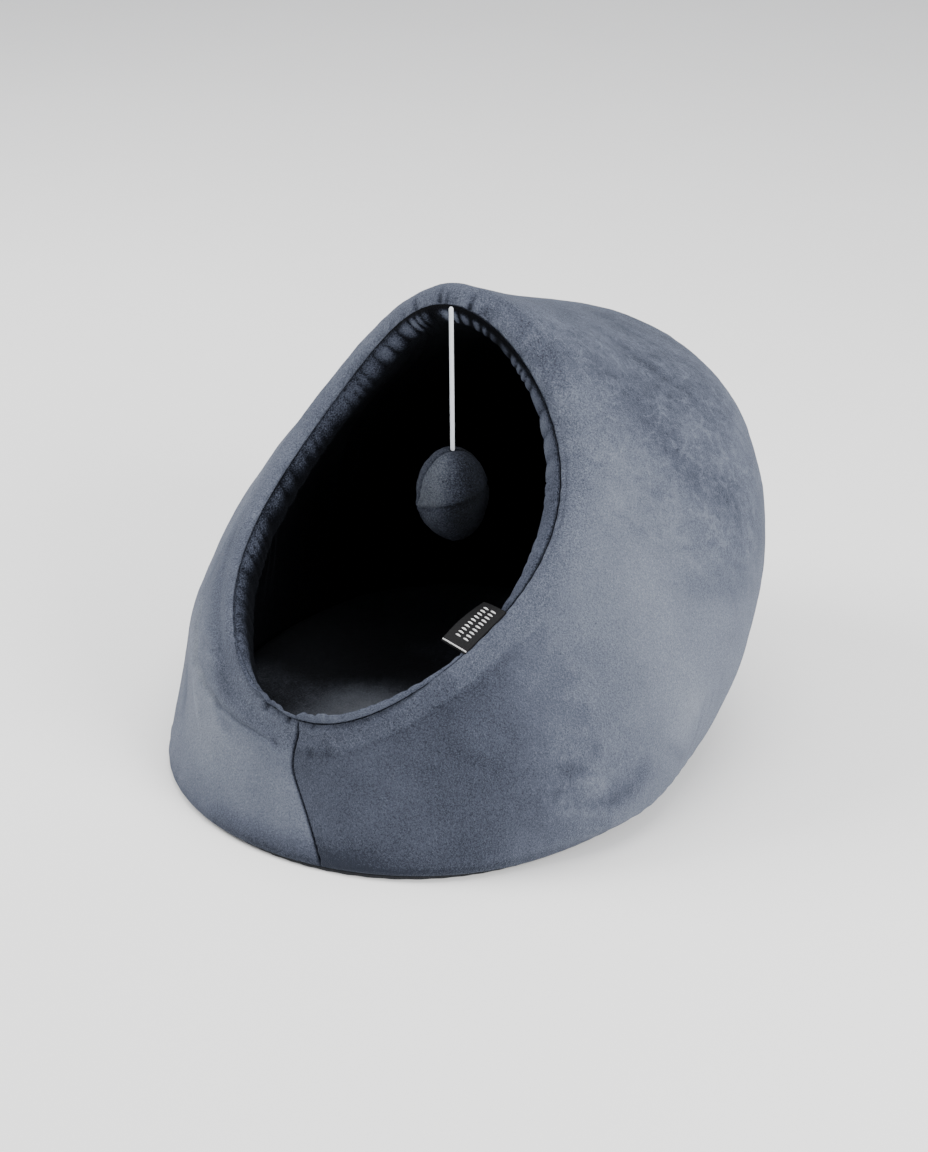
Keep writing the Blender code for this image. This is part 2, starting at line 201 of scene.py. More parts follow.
def bell(distance, width):
    """1 at no distance, falling off on both sides as exp(-(distance / width)^2)."""
    return np.exp(-(distance / width) ** 2)


def turn_between(theta, degrees):
    """Signed angle from a bearing in degrees to theta, wrapped to half a turn either way."""
    return (theta - math.radians(degrees) + math.pi) % (2 * math.pi) - math.pi


def ripples(points, wavelength, count, seed):
    """Soft unevenness, about -1 to 1: the scaled mean of sine waves in seeded directions."""
    draws = np.random.default_rng(seed)
    directions = unit(draws.normal(size=(count, 3)))
    lengths = wavelength * draws.uniform(0.65, 1.5, count)
    phases = draws.uniform(0.0, 2 * math.pi, count)
    waves = np.sin(points @ (directions / lengths[:, None]).T * 2 * math.pi + phases)
    return waves.sum(axis=-1) / math.sqrt(count / 2) * 0.6


def rippled(points, table):
    """Sum of ripples, for rows of strength, wavelength in metres, number of waves and seed."""
    return sum(strength * ripples(points, wavelength, count, seed)
               for strength, wavelength, count, seed in table)


def hump(theta, degrees, spread):
    """Bell-shaped strength, 0 to 1, of angles near a bearing; both sizes in degrees."""
    return bell(turn_between(theta, degrees), math.radians(spread))


def wrapped_rim(theta):
    """1 where the slumped rim rolls over its seam and hides it, 0 elsewhere."""
    degrees = np.degrees(turn_between(theta, 0.0))
    return rise(degrees, *WRAPPED[:2]) * (1 - rise(degrees, *WRAPPED[2:]))


def gathers(theta, count, seed, sharpness=0.5):
    """Rounded puffs between sharp tucks, 0 to 1: a power of an uneven sine's size."""
    draws = np.random.default_rng(seed)
    phase = count / 2 * theta
    height = np.full(np.shape(theta), 0.75)
    for order in (3, 5, 8, 13, 21):
        phase = phase + draws.uniform(0.5, 1.2) * np.sin(order * theta + draws.uniform(0, 2 * math.pi))
        height = height + 0.10 * np.sin(order * theta + draws.uniform(0, 2 * math.pi))
    return height * np.abs(np.sin(phase)) ** sharpness


# ---- the cave's shape, as in the part -------------------------------------------------------------
def around(values, theta):
    """Smooth even interpolation of one value per station: a cosine series through them."""
    orders = np.arange(len(STATIONS))
    return np.cos(np.multiply.outer(theta, orders)) @ (SERIES @ np.asarray(values))


def foot_loop(theta):
    """The foot of the wall on the floor, an oval given by its radius at each station."""
    radius = around(TABLE[:, 1], theta)
    return np.stack([FOOT_MIDDLE_X + radius * np.sin(theta), PLAN_CENTRE_Y - radius * np.cos(theta),
                     np.zeros_like(theta)], axis=-1)


def foot_outward(theta, step=0.001):
    """Level unit vectors that point straight out of the foot loop."""
    along = unit(foot_loop(theta + step) - foot_loop(theta - step))
    return np.cross(along, UP)


def mouth_normal():
    """Unit normal of the mouth's mean plane, pointing out of the cave."""
    along = unit(np.array([0.0, TOP_Y - LIP_Y, TOP_Z - LIP_Z]))
    return np.array([0.0, -along[2], along[1]])


def mouth_loop(theta):
    """The rim seam: an egg drawn in at its ends, dipping back between the lip and the top."""
    cosine, sine = np.cos(theta), np.sin(theta)
    share = (1 - cosine) / 2
    lip = np.array([0.0, LIP_Y, LIP_Z])
    top = np.array([0.0, TOP_Y, TOP_Z])
    dip = MOUTH_BOW * 4 * share * (1 - share) * (1 + MOUTH_BOW_SKEW * (2 * share - 1))
    points = lip + (top - lip) * share[..., None] - mouth_normal() * dip[..., None]
    width = MOUTH_HALF_WIDTH * (1 + MOUTH_EGG * cosine - MOUTH_PINCH * cosine ** 2)
    points[..., 0] = MIDDLE_X + width * sine
    return points


def mouth_frame(theta, step=0.001):
    """Seam points, unit vectors away from the mouth's middle, and unit vectors out of it."""
    points = mouth_loop(theta)
    along = unit(mouth_loop(theta + step) - mouth_loop(theta - step))
    away = unit(np.cross(along, mouth_normal()))
    return points, away, np.cross(away, along)


def seam_shift(theta, share):
    """Turn of the cloth's columns that lets the middle one follow the leaning front seam."""
    fade = hump(theta, 0.0, FRONT_SEAM_SPREAD)
    lean = math.radians(FRONT_SEAM_FOOT_ANGLE) * (1 - share) ** FRONT_SEAM_CURVE
    return theta + lean * fade


def falling_away(theta):
    """Unit vectors along which the wall falls away from the rim's crest."""
    lean = np.radians(around(TABLE[:, 4], theta))
    level = np.sin(lean)
    return np.stack([np.sin(theta) * level, -np.cos(theta) * level, -np.cos(lean)], axis=-1)


def wall_point(theta, share):
    """Outer face of the wall, a cubic curve from the foot to the crest of the rim."""
    seam, away, out = mouth_frame(theta)
    foot = foot_loop(theta) + (0.0, 0.0, WALL_FOOT_Z)
    crest = seam + away * RIM_WIDTH - out * RIM_DROP
    foot_lean = np.radians(around(TABLE[:, 2], theta))[..., None]
    foot_reach = around(TABLE[:, 3], theta)[..., None]
    crest_reach = around(TABLE[:, 5], theta)[..., None]
    low = foot + (foot_outward(theta) * np.sin(foot_lean) + UP * np.cos(foot_lean)) * foot_reach
    high = crest + falling_away(theta) * crest_reach
    s = share[..., None]
    return ((1 - s) ** 3 * foot + 3 * (1 - s) ** 2 * s * low
            + 3 * (1 - s) * s ** 2 * high + s ** 3 * crest)


def wall_normal(theta, share, step=0.02):
    """Outward unit normals of the wall's outer face."""
    round_it = wall_point(theta + step, share) - wall_point(theta - step, share)
    upper, lower = np.minimum(share + step, 1.0), np.maximum(share - step, 0.0)
    up_it = wall_point(theta, upper) - wall_point(theta, lower)
    return unit(np.cross(round_it, up_it))


def padding_swell(theta, share):
    """Sum of the soft hollows and swellings, each a smooth hump, held in at the foot's seam."""
    total = np.zeros(np.broadcast(theta, share).shape)
    for angle, height, depth, angle_spread, height_spread in SOFT_PLACES:
        total += depth * hump(theta, angle, angle_spread) * bell(share - height, height_spread)
    return total * (1 - bell(share, FOOT_HOLD))


def outer_face(theta, share, turned=None):
    """Points and outward unit normals of the padded outer face."""
    turned = theta if turned is None else turned
    normal = wall_normal(turned, share)
    return wall_point(turned, share) + normal * padding_swell(theta, share)[..., None], normal


def lining_sheet(angles, depth, lip_rows, inner_rows):
    """Points, unit vectors into the cave, and travel from the seam, of a face that deep.

    The lip is a quadratic curve from the rim's seam to the top of the inner face, which is the
    outer face moved in by the padding.
    """
    seam, away, out = mouth_frame(angles)
    crest, normal = outer_face(angles, np.ones_like(angles))
    edge = seam - away * LINING_EDGE_INSET - out * (GAP + depth)
    inner_top = crest - normal * (PADDING - depth)
    corner = edge + away * ((inner_top - edge) * away).sum(axis=-1, keepdims=True)
    t = np.linspace(0.0, 1.0, lip_rows + 1)[:, None, None]
    lip = (1 - t) ** 2 * edge + 2 * (1 - t) * t * corner + t ** 2 * inner_top
    shares = np.linspace(1.0, 0.0, inner_rows + 1)[1:]
    share, theta = np.meshgrid(shares, angles, indexing="ij")
    face, normal_in = outer_face(theta, share)
    inner = face - normal_in * (PADDING - depth)
    inner[..., 2] = np.maximum(inner[..., 2], WALL_FOOT_Z)
    inner[-1, :, 2] = WALL_FOOT_Z
    points = np.concatenate([lip, inner])
    into = unit(np.concatenate([(1 - t) * out - t * normal, -normal_in]))
    steps = np.linalg.norm(np.diff(points, axis=0, prepend=points[:1]), axis=-1)
    return points, into, np.cumsum(steps, axis=0)


def inside_radius(angle, height):
    """Level distance from the plan's centre to the lining, for arrays of angles and heights."""
    shares = np.linspace(0.0, 0.6, 25)
    share, theta = np.meshgrid(shares, angle, indexing="ij")
    face, normal = outer_face(theta, share)
    inner = face - normal * PADDING
    radius = np.hypot(inner[..., 0] - MIDDLE_X, inner[..., 1] - PLAN_CENTRE_Y)
    return np.array([np.interp(z, inner[:, i, 2], radius[:, i]) for i, z in enumerate(height)])


# ---- meshes -----------------------------------------------------------------------------------------
def grid_quads(rows, columns, wrap_rows=False, wrap_columns=True):
    """Corner numbers of a grid's cells, with either direction closed into a ring."""
    row, column = np.meshgrid(np.arange(rows - (not wrap_rows)),
                              np.arange(columns - (not wrap_columns)), indexing="ij")
    next_row, next_column = (row + 1) % rows, (column + 1) % columns
    corners = np.stack([row * columns + column, row * columns + next_column,
                        next_row * columns + next_column, next_row * columns + column], axis=-1)
    return corners.reshape(-1, 4)


def new_piece(name, points, faces, material, flip=False):
    """A smooth-shaded object at the origin from points and lists of corner numbers."""
    mesh = bpy.data.meshes.new(name)
    if flip:
        faces = [face[::-1] for face in faces]
    mesh.from_pydata(np.reshape(points, (-1, 3)).tolist(), [], faces)
    mesh.update()
    mesh.shade_smooth()
    mesh.materials.append(material)
    obj = bpy.data.objects.new(name, mesh)
    bpy.context.scene.collection.objects.link(obj)
    return obj


def mark(obj, name, values):
    """Store one number for each point of a piece, for its material to read."""
    layer = obj.data.attributes.new(name, "FLOAT", "POINT")
    layer.data.foreach_set("value", np.asarray(values, dtype=np.float32).ravel())


def ring_piece(name, grid, material, flip=False):
    """Closed ring-shaped surface: the grid wraps round both its rows and its columns."""
    faces = grid_quads(*grid.shape[:2], wrap_rows=True).tolist()
    return new_piece(name, grid, faces, material, flip)


def capped_piece(name, grid, material, flip=False):
    """Closed surface of rings, each end of the rows shut by one face."""
    rows, columns = grid.shape[:2]
    faces = grid_quads(rows, columns).tolist()
    faces.append(list(range(columns))[::-1])
    faces.append([(rows - 1) * columns + i for i in range(columns)])
    return new_piece(name, grid, faces, material, flip)


def sewn_thread(name, centres, along, outward, length, radius, material, sides=6, rings=5):
    """Many short stitches as one piece: each a thin spindle that bows outwards at its middle.

    A stitch's axis is centre + along * length * (t - 1/2) + outward * radius * sin(pi t), and its
    thickness is radius * sin(pi t) ^ 0.4 with t kept off its ends.
    """
    t = np.linspace(0.04, 0.96, rings)
    turn = np.linspace(0.0, 2 * math.pi, sides, endpoint=False)
    across = np.cross(along, outward)
    thick = radius * np.sin(math.pi * t) ** 0.4
    axis = (centres[:, None] + along[:, None] * (length * (t - 0.5))[:, None]
            + outward[:, None] * (radius * np.sin(math.pi * t))[:, None])
    ring = (np.cos(turn)[:, None] * across[:, None, None]
            + np.sin(turn)[:, None] * outward[:, None, None])
    points = axis[:, :, None] + ring * thick[:, None, None]
    each = grid_quads(rings, sides)
    starts = np.arange(len(centres)) * rings * sides
    faces = (each[None] + starts[:, None, None]).reshape(-1, 4).tolist()
    first = np.arange(sides)
    faces += (first[::-1][None] + starts[:, None]).tolist()
    faces += (first[None] + (rings - 1) * sides + starts[:, None]).tolist()
    return new_piece(name, points, faces, material)


# ---- materials ---------------------------------------------------------------------------------------
def add_node(tree, kind, inputs=None, **properties):
    """Add a shader node, set its own properties, and set or link its input sockets."""
    node = tree.nodes.new("ShaderNode" + kind)
    for name, value in properties.items():
        setattr(node, name, value)
    for name, value in (inputs or {}).items():
        if isinstance(value, bpy.types.NodeSocket):
            tree.links.new(value, node.inputs[name])
        else:
            node.inputs[name].default_value = value
    return node


def calculate(tree, operation, first, second=0.0, third=0.0):
    """One Math node's result."""
    return add_node(tree, "Math", {0: first, 1: second, 2: third}, operation=operation).outputs[0]


def noise(tree, place, scale, detail=2.0, roughness=0.5, distortion=0.0):
    """A noise texture's value, 0 to 1, about 0.5 on average."""
    return add_node(tree, "TexNoise", {"Vector": place, "Scale": scale, "Detail": detail,
                                       "Roughness": roughness, "Distortion": distortion}).outputs[0]


def stretched(tree, place, turn, scale):
    """Coordinates turned (degrees) and stretched, for marks that run one way."""
    return add_node(tree, "Mapping", {"Vector": place, "Scale": scale,
                                      "Rotation": [math.radians(a) for a in turn]}).outputs[0]


def strokes(tree, place, lay, detail, roughness, distortion):
    """Noise drawn out into streaks; the lay is its turn, and how many marks to the metre each way."""
    return noise(tree, stretched(tree, place, *lay), 1.0, detail, roughness, distortion)


def varied(tree, light, value, strength):
    """Lightness changed by how far a noise value lies from its middle, times a strength."""
    return calculate(tree, "MULTIPLY_ADD", calculate(tree, "SUBTRACT", value, 0.5), strength, light)


def mapped(tree, value, low, high, start, end, shape="SMOOTHSTEP"):
    """A value between low and high carried over to between start and end."""
    return add_node(tree, "MapRange", {"Value": value, "From Min": low, "From Max": high,
                                       "To Min": start, "To Max": end}, interpolation_type=shape).outputs[0]


def mixed(tree, share, first, second):
    """A colour between two colours."""
    return add_node(tree, "Mix", {0: share, 6: (*first, 1.0), 7: (*second, 1.0)},
                    data_type="RGBA").outputs[2]


def emboss(tree, shader, height, strength, distance):
    """Relief too fine for the mesh, from a height value."""
    bump = add_node(tree, "Bump", {"Strength": strength, "Distance": distance, "Height": height})
    tree.links.new(bump.outputs["Normal"], shader.inputs["Normal"])


def new_material(name):
    """A node material with its tree and its Principled shader."""
    material = bpy.data.materials.new(name)
    material.use_nodes = True
    return material, material.node_tree, material.node_tree.nodes["Principled BSDF"]


CLOUDS_PER_METRE = 13.0
BLOTCHES_PER_METRE = 34.0
GRAIN_PER_METRE = 900.0
PILE_PER_METRE = 1700.0
PILE_PART = 0.7                      # how much the single hairs count beside the grain
SPECK_MIDDLE = 0.85                  # the sum of grain and pile on average
BRUSHED_LAY = ((20, 35, 10), (95.0, 95.0, 22.0))
CROSSED_LAY = ((-35, 20, -25), (190.0, 190.0, 60.0))
CELL_LAY = ((0, 25, 0), (110.0, 110.0, 62.0))
CELL_WARP_PER_METRE = 60.0
CELL_WARP = 0.022                    # metres by which the cells' walls wander
PRESSED_LINE = (0.17, 0.16)          # half width of a pale line, as part of a cell, and its lightness
LINES_HERE = (52.0, 0.42, 0.58)      # patches to the metre, and the values between which lines set in
PRESSED_BLOTCHES = 0.42
SLANTED_LAY = ((0, -14, 0), (170.0, 170.0, 62.0))
PRESSED_STREAKS = 0.55
PRESSED_DARKER = 0.02
RAGGED_PER_METRE = 30.0
RAGGED_BY = (9.0, 5.0)               # centimetres by which noise and streaks shift the panel's border
BORDER = (6.5, 7.6)                  # where the border starts and ends, with that noise in it
BORDER_PART = 0.34                   # part of the change that falls on the border
CLOUDY_BY = (8.0, 7.0)               # the same for clouds and blotches, for the rest of the change
FURTHER_IN = (8.0, 17.0)
PLUSH_ROUGHNESS = (0.80, 0.12)       # least, and how much more along the streaks
SHEEN_ROUGHNESS = 0.42
SHEEN_TINT = (0.66, 0.74, 0.92, 1.0)
PILE_HEIGHT = 0.0014
CROSSED_HEIGHT = 0.5


def crushed_pile(tree, place, blotches):
    """How much lighter pressed pile is: pale thin lines here and there, blotches and steep streaks.

    The lines run along the walls of cells whose places a noise has warped.
    """
    warp = add_node(tree, "TexNoise", {"Vector": place, "Scale": CELL_WARP_PER_METRE, "Detail": 3.0})
    bent = add_node(tree, "VectorMath", {0: warp.outputs[1], 1: [CELL_WARP] * 3, 2: place},
                    operation="MULTIPLY_ADD").outputs[0]
    cells = add_node(tree, "TexVoronoi", {"Vector": stretched(tree, bent, *CELL_LAY), "Scale": 1.0},
                     feature="DISTANCE_TO_EDGE").outputs[0]
    half, light = PRESSED_LINE
    lines = mapped(tree, cells, 0.0, half, light, 0.0)
    per_metre, low, high = LINES_HERE
    here = mapped(tree, noise(tree, place, per_metre, 3.0, 0.6), low, high, 0.0, 1.0, "LINEAR")
    pressed = calculate(tree, "MULTIPLY", lines, here)
    pressed = varied(tree, pressed, blotches, PRESSED_BLOTCHES)
    pressed = varied(tree, pressed, strokes(tree, place, SLANTED_LAY, 4.0, 0.6, 0.9), PRESSED_STREAKS)
    return calculate(tree, "SUBTRACT", pressed, PRESSED_DARKER)


def brushed_over(tree, place, brush, clouds, blotches, brushed, turned):
    """Change of lightness in a panel brushed the other way, from the centimetres inside it.

    A third of it sets in at a ragged border, and the rest gradually, over clouds and blotches.
    """
    ragged = noise(tree, place, RAGGED_PER_METRE, 6.0, 0.70, 0.4)
    at_border = calculate(tree, "MULTIPLY_ADD", ragged, RAGGED_BY[0], brush)
    at_border = calculate(tree, "MULTIPLY_ADD", brushed, RAGGED_BY[1], at_border)
    at_border = mapped(tree, at_border, *BORDER, 0.0, turned * BORDER_PART)
    inside = calculate(tree, "MULTIPLY_ADD", clouds, CLOUDY_BY[0], brush)
    inside = calculate(tree, "MULTIPLY_ADD", blotches, CLOUDY_BY[1], inside)
    inside = mapped(tree, inside, *FURTHER_IN, 0.0, turned * (1 - BORDER_PART))
    return calculate(tree, "ADD", at_border, inside)


def plush(name, tones, cloud=0.05, streak=0.032, speckle=0.34, sheen=0.15, gloss=0.15, relief=0.85,
          turned=0.0):
    """Short-pile velour.

    How light a spot is comes from the piece's nap mark (which way the pile lies, with painted
    light and shade added in), cloudy noise, streaks brushed down the cloth, and the speckle of the
    pile itself, which is coarser where the rim mark is high. Where a panel is turned, the crush mark
    says how far the pile is pressed, and the brush mark how far inside the panel a spot lies. The
    tones are picked along that lightness, and the pile also stands up as relief.
    """
    material, tree, shader = new_material(name)
    place = add_node(tree, "TexCoord").outputs["Object"]
    marks = {mark_name: add_node(tree, "Attribute", attribute_name=mark_name).outputs["Fac"]
             for mark_name in ("nap_and_shading", "rim", "brush", "crush")}
    clouds = noise(tree, place, CLOUDS_PER_METRE, 4.0, 0.6, 0.5)
    brushed = strokes(tree, place, BRUSHED_LAY, 4.0, 0.65, 0.6)
    crossed = strokes(tree, place, CROSSED_LAY, 3.0, 0.6, 0.4)
    grain = noise(tree, place, GRAIN_PER_METRE, 2.0, 0.7)
    pile = noise(tree, place, PILE_PER_METRE, 1.0, 0.6)
    hairs = calculate(tree, "MULTIPLY_ADD", pile, PILE_PART, grain)
    light = calculate(tree, "ADD", marks["nap_and_shading"], 0.5)
    for value, strength in ((clouds, cloud * 2), (brushed, streak * 2), (crossed, streak * 1.6)):
        light = varied(tree, light, value, strength)
    coarse = calculate(tree, "MULTIPLY_ADD", marks["rim"], speckle * 0.9, speckle * 2)
    specks = calculate(tree, "SUBTRACT", hairs, SPECK_MIDDLE)
    light = calculate(tree, "MULTIPLY_ADD", specks, coarse, light)
    if turned:
        blotches = noise(tree, place, BLOTCHES_PER_METRE, 5.0, 0.62, 0.4)
        pressed = crushed_pile(tree, place, blotches)
        light = calculate(tree, "MULTIPLY_ADD", pressed, marks["crush"], light)
        change = brushed_over(tree, place, marks["brush"], clouds, blotches, brushed, turned)
        light = calculate(tree, "ADD", light, change)
    ramp = add_node(tree, "ValToRGB", {"Fac": light})
    stops = ramp.color_ramp.elements
    while len(stops) < len(tones):
        stops.new(0.5)
    for stop, (position, colour) in zip(stops, tones):
        stop.position = position
        stop.color = (*colour, 1.0)
    tree.links.new(ramp.outputs["Color"], shader.inputs["Base Color"])
    rough = calculate(tree, "MULTIPLY_ADD", brushed, PLUSH_ROUGHNESS[1], PLUSH_ROUGHNESS[0])
    tree.links.new(rough, shader.inputs["Roughness"])
    shader.inputs["Specular IOR Level"].default_value = gloss
    shader.inputs["Sheen Weight"].default_value = sheen
    shader.inputs["Sheen Roughness"].default_value = SHEEN_ROUGHNESS
    shader.inputs["Sheen Tint"].default_value = SHEEN_TINT
    height = calculate(tree, "MULTIPLY_ADD", crossed, CROSSED_HEIGHT, hairs)
    emboss(tree, shader, height, relief, PILE_HEIGHT)
    return material


TAPE_BARS = 130.0                    # scale of the weave's bars
TAPE_CONTRAST = 0.35
TAPE_ROUGHNESS = 0.6
TAPE_GLOSS = 0.12


def woven_tape(name, colour):
    """Close-woven cloth or tape: two sets of fine bars across each other, as colour and relief."""
    material, tree, shader = new_material(name)
    place = add_node(tree, "TexCoord").outputs["Object"]
    bars = {"Vector": place, "Scale": TAPE_BARS, "Distortion": 0.6, "Detail": 1.0}
    warp, weft = (add_node(tree, "TexWave", bars, bands_direction=way).outputs[1] for way in "XY")
    weave = calculate(tree, "MULTIPLY", warp, weft)
    fuzz = calculate(tree, "MULTIPLY", noise(tree, place, 300.0, 3.0, 0.6), TAPE_CONTRAST)
    shade = calculate(tree, "MULTIPLY_ADD", weave, TAPE_CONTRAST, fuzz)
    darker, lighter = ([part * change for part in colour] for change in (0.7, 1.3))
    tree.links.new(mixed(tree, shade, darker, lighter), shader.inputs["Base Color"])
    shader.inputs["Roughness"].default_value = TAPE_ROUGHNESS
    shader.inputs["Specular IOR Level"].default_value = TAPE_GLOSS
    emboss(tree, shader, weave, 0.4, 0.0003)
    return material


BRAID_LEAN = 38                      # degrees by which the braid's strands lean either way
BRAID_BARS = 2.2
BRAID_TONES = ((0.52, 0.55, 0.60), (0.84, 0.87, 0.93))
BRAID_ROUGHNESS = 0.62
BRAID_SHEEN = 0.15


def braided_elastic(name):
    """White elastic: a fine slanted braid read from the cord's own UV map."""
    material, tree, shader = new_material(name)
    place = add_node(tree, "UVMap", uv_map="braid").outputs[0]
    strands = (add_node(tree, "TexWave", {
        "Vector": stretched(tree, place, (0, 0, turn), (1.0, 1.0, 1.0)), "Scale": BRAID_BARS,
        "Distortion": 0.3}).outputs[1] for turn in (BRAID_LEAN, -BRAID_LEAN))
    braid = calculate(tree, "MAXIMUM", *strands)
    tree.links.new(mixed(tree, braid, *BRAID_TONES), shader.inputs["Base Color"])
    shader.inputs["Roughness"].default_value = BRAID_ROUGHNESS
    shader.inputs["Sheen Weight"].default_value = BRAID_SHEEN
    emboss(tree, shader, braid, 0.5, 0.0003)
    return material


FLOOR_TONES = ((0.86, 0.85, 0.83), (0.90, 0.895, 0.88))
FLOOR_ROUGHNESS = 0.75


def plain_floor(name):
    """Pale matt studio floor with the faintest mottling."""
    material, tree, shader = new_material(name)
    mottle = noise(tree, add_node(tree, "TexCoord").outputs["Object"], 3.0, 5.0, 0.6)
    tree.links.new(mixed(tree, mottle, *FLOOR_TONES), shader.inputs["Base Color"])
    shader.inputs["Roughness"].default_value = FLOOR_ROUGHNESS
    return material


# ---- folds pressed into the skin ------------------------------------------------------------------
FOLDS = (
    # name, start angle and share, end angle and share, sideways bow, depth, half width (metres)
    ("left cheek ridge, upper", -47.0, 0.50, -24.0, 0.44, 0.0060, 0.0017, 0.0024),
    ("left cheek ridge, lower", -44.0, 0.42, -28.0, 0.28, -0.0030, 0.0012, 0.0022),
    ("pale ridge on the slumped rim", -55.0, 0.66, -43.0, 0.95, 0.0030, 0.0024, 0.0036),
    ("second ridge on the slumped rim", -45.0, 0.66, -36.0, 0.90, -0.0020, 0.0015, 0.0032),
    ("left cheek crease", -34.0, 0.62, -20.0, 0.54, 0.0020, -0.0009, 0.0032),
    ("left cheek hollow", -52.0, 0.36, -40.0, 0.20, 0.0030, -0.0011, 0.0060),
    ("under the left rim", -40.0, 0.86, -24.0, 0.92, 0.0030, -0.0014, 0.0055),
    ("dart left of the seam", -9.0, 0.98, -4.5, 0.84, 0.0010, -0.0012, 0.0022),
    ("dart right of the seam", 5.0, 0.99, 8.0, 0.88, 0.0010, -0.0010, 0.0022),
    ("second dart right of the seam", 11.0, 1.00, 14.0, 0.92, 0.0010, -0.0007, 0.0022),
    ("front scuff, long", 44.0, 0.52, 66.0, 0.22, 0.0050, -0.0007, 0.0045),
    ("front scuff, short", 60.0, 0.30, 72.0, 0.16, -0.0030, -0.0009, 0.0040),
    ("front scuff, low", 56.0, 0.16, 70.0, 0.10, 0.0020, 0.0006, 0.0040),
    ("lower right crease, first", 92.0, 0.08, 99.0, 0.24, 0.0010, -0.0014, 0.0026),
    ("lower right crease, second", 95.0, 0.07, 102.0, 0.24, 0.0010, -0.0012, 0.0024),
    ("lower right crease, third", 98.5, 0.06, 106.0, 0.26, 0.0010, -0.0010, 0.0024),
    ("lower right tuck", 91.0, 0.10, 84.0, 0.20, 0.0010, -0.0016, 0.0050),
    ("flank hollow", 108.0, 0.62, 122.0, 0.40, 0.0060, -0.0014, 0.0120),
    ("shoulder fold", 150.0, 0.90, 128.0, 0.70, 0.0080, -0.0012, 0.0090),
    ("crown fold, first", 166.0, 0.88, 146.0, 0.72, 0.0060, -0.0009, 0.0050),
    ("crown fold, second", 170.0, 0.80, 150.0, 0.62, 0.0060, -0.0008, 0.0050),
    ("back fold, left", -150.0, 0.80, -128.0, 0.56, 0.0080, -0.0013, 0.0080),
    ("back fold, low", 176.0, 0.22, 150.0, 0.12, 0.0050, -0.0012, 0.0060),
    ("left flank crease, first", -90.0, 0.08, -104.0, 0.36, 0.0030, -0.0008, 0.0060),
    ("left flank crease, second", -99.0, 0.07, -112.0, 0.30, 0.0030, -0.0007, 0.0055),
    ("left flank hollow", -112.0, 0.66, -124.0, 0.42, 0.0060, -0.0014, 0.0120),
)
FOLD_SHADING = 0.14                      # painted light and shade: a fold is lighter on a ridge, darker in a trough
PRESS_MARKS = 120                    # short pressed streaks over the crown and the right shoulder
PRESS_MARK_LENGTH = (0.008, 0.026)
PRESS_MARK_DEPTH = 0.00030
PRESS_MARK_HALF = 0.0022
# painted light and shade on the pressed marks: lighter where raised, darker where sunk
PRESS_MARK_SHADING = 0.06
PRESS_MARK_ANGLES = (112, 168)
PRESS_MARK_SHARES = (0.42, 0.98)
PRESS_MARK_LEAN = (-38.0, 16.0)      # degrees on average, and their scatter
PRESS_MARK_BOW = 0.0015              # scatter of the sideways bow


def fold_relief(points, start, end, bow, half_width):
    """How strongly each point lies on one fold, 0 to 1.

    The fold is a quadratic curve from start to end, bowed sideways. Its strength falls off as a
    bell with distance from the curve, and towards both ends as a sine.
    """
    run = end - start
    side = unit(np.cross(run, start - (MIDDLE_X, PLAN_CENTRE_Y, 0.10)))
    t = np.linspace(0.0, 1.0, 5)[:, None]
    route = start + run * t + side * bow * 4 * t * (1 - t)
    strength = np.zeros(points.shape[:-1])
    for i, (low, high) in enumerate(zip(route[:-1], route[1:])):
        piece = high - low
        share = np.clip(((points - low) @ piece) / (piece @ piece), 0.0, 1.0)
        apart = np.linalg.norm(points - low - share[..., None] * piece, axis=-1)
        taper = np.sin(math.pi * np.clip((i + share) / (len(route) - 1), 0.02, 0.98)) ** 0.7
        strength = np.maximum(strength, taper * bell(apart, half_width))
    return strength


def all_folds(points):
    """Depth of all placed folds and pressed marks at each point, and their painted light and shade."""
    depth = np.zeros(points.shape[:-1])
    pressed = np.zeros(points.shape[:-1])
    for _, a0, s0, a1, s1, bow, fold_depth, half in FOLDS:
        ends, _ = outer_face(np.radians(np.array([a0, a1])), np.array([s0, s1]))
        strength = fold_relief(points, ends[0], ends[1], bow, half)
        depth += strength * fold_depth
        pressed += strength * np.sign(fold_depth) * FOLD_SHADING
    draws = np.random.default_rng(11)
    middles = [draws.uniform(*limits, PRESS_MARKS) for limits in (PRESS_MARK_ANGLES, PRESS_MARK_SHARES)]
    for angle, share in zip(*middles):
        centre, normal = outer_face(np.radians(np.array([angle])), np.array([share]))
        lean = math.radians(draws.normal(*PRESS_MARK_LEAN))
        level = unit(np.cross(UP, normal[0]))
        climb = np.cross(normal[0], level)
        heading = level * math.cos(lean) + climb * math.sin(lean)
        half_run = heading * draws.uniform(*PRESS_MARK_LENGTH) / 2
        strength = fold_relief(points, centre[0] - half_run, centre[0] + half_run,
                               draws.normal(0.0, PRESS_MARK_BOW),
                               PRESS_MARK_HALF * draws.uniform(0.6, 1.3))
        sign = draws.choice([-1.0, 1.0])
        depth += strength * PRESS_MARK_DEPTH * sign
        pressed += strength * sign * PRESS_MARK_SHADING
    return depth, pressed
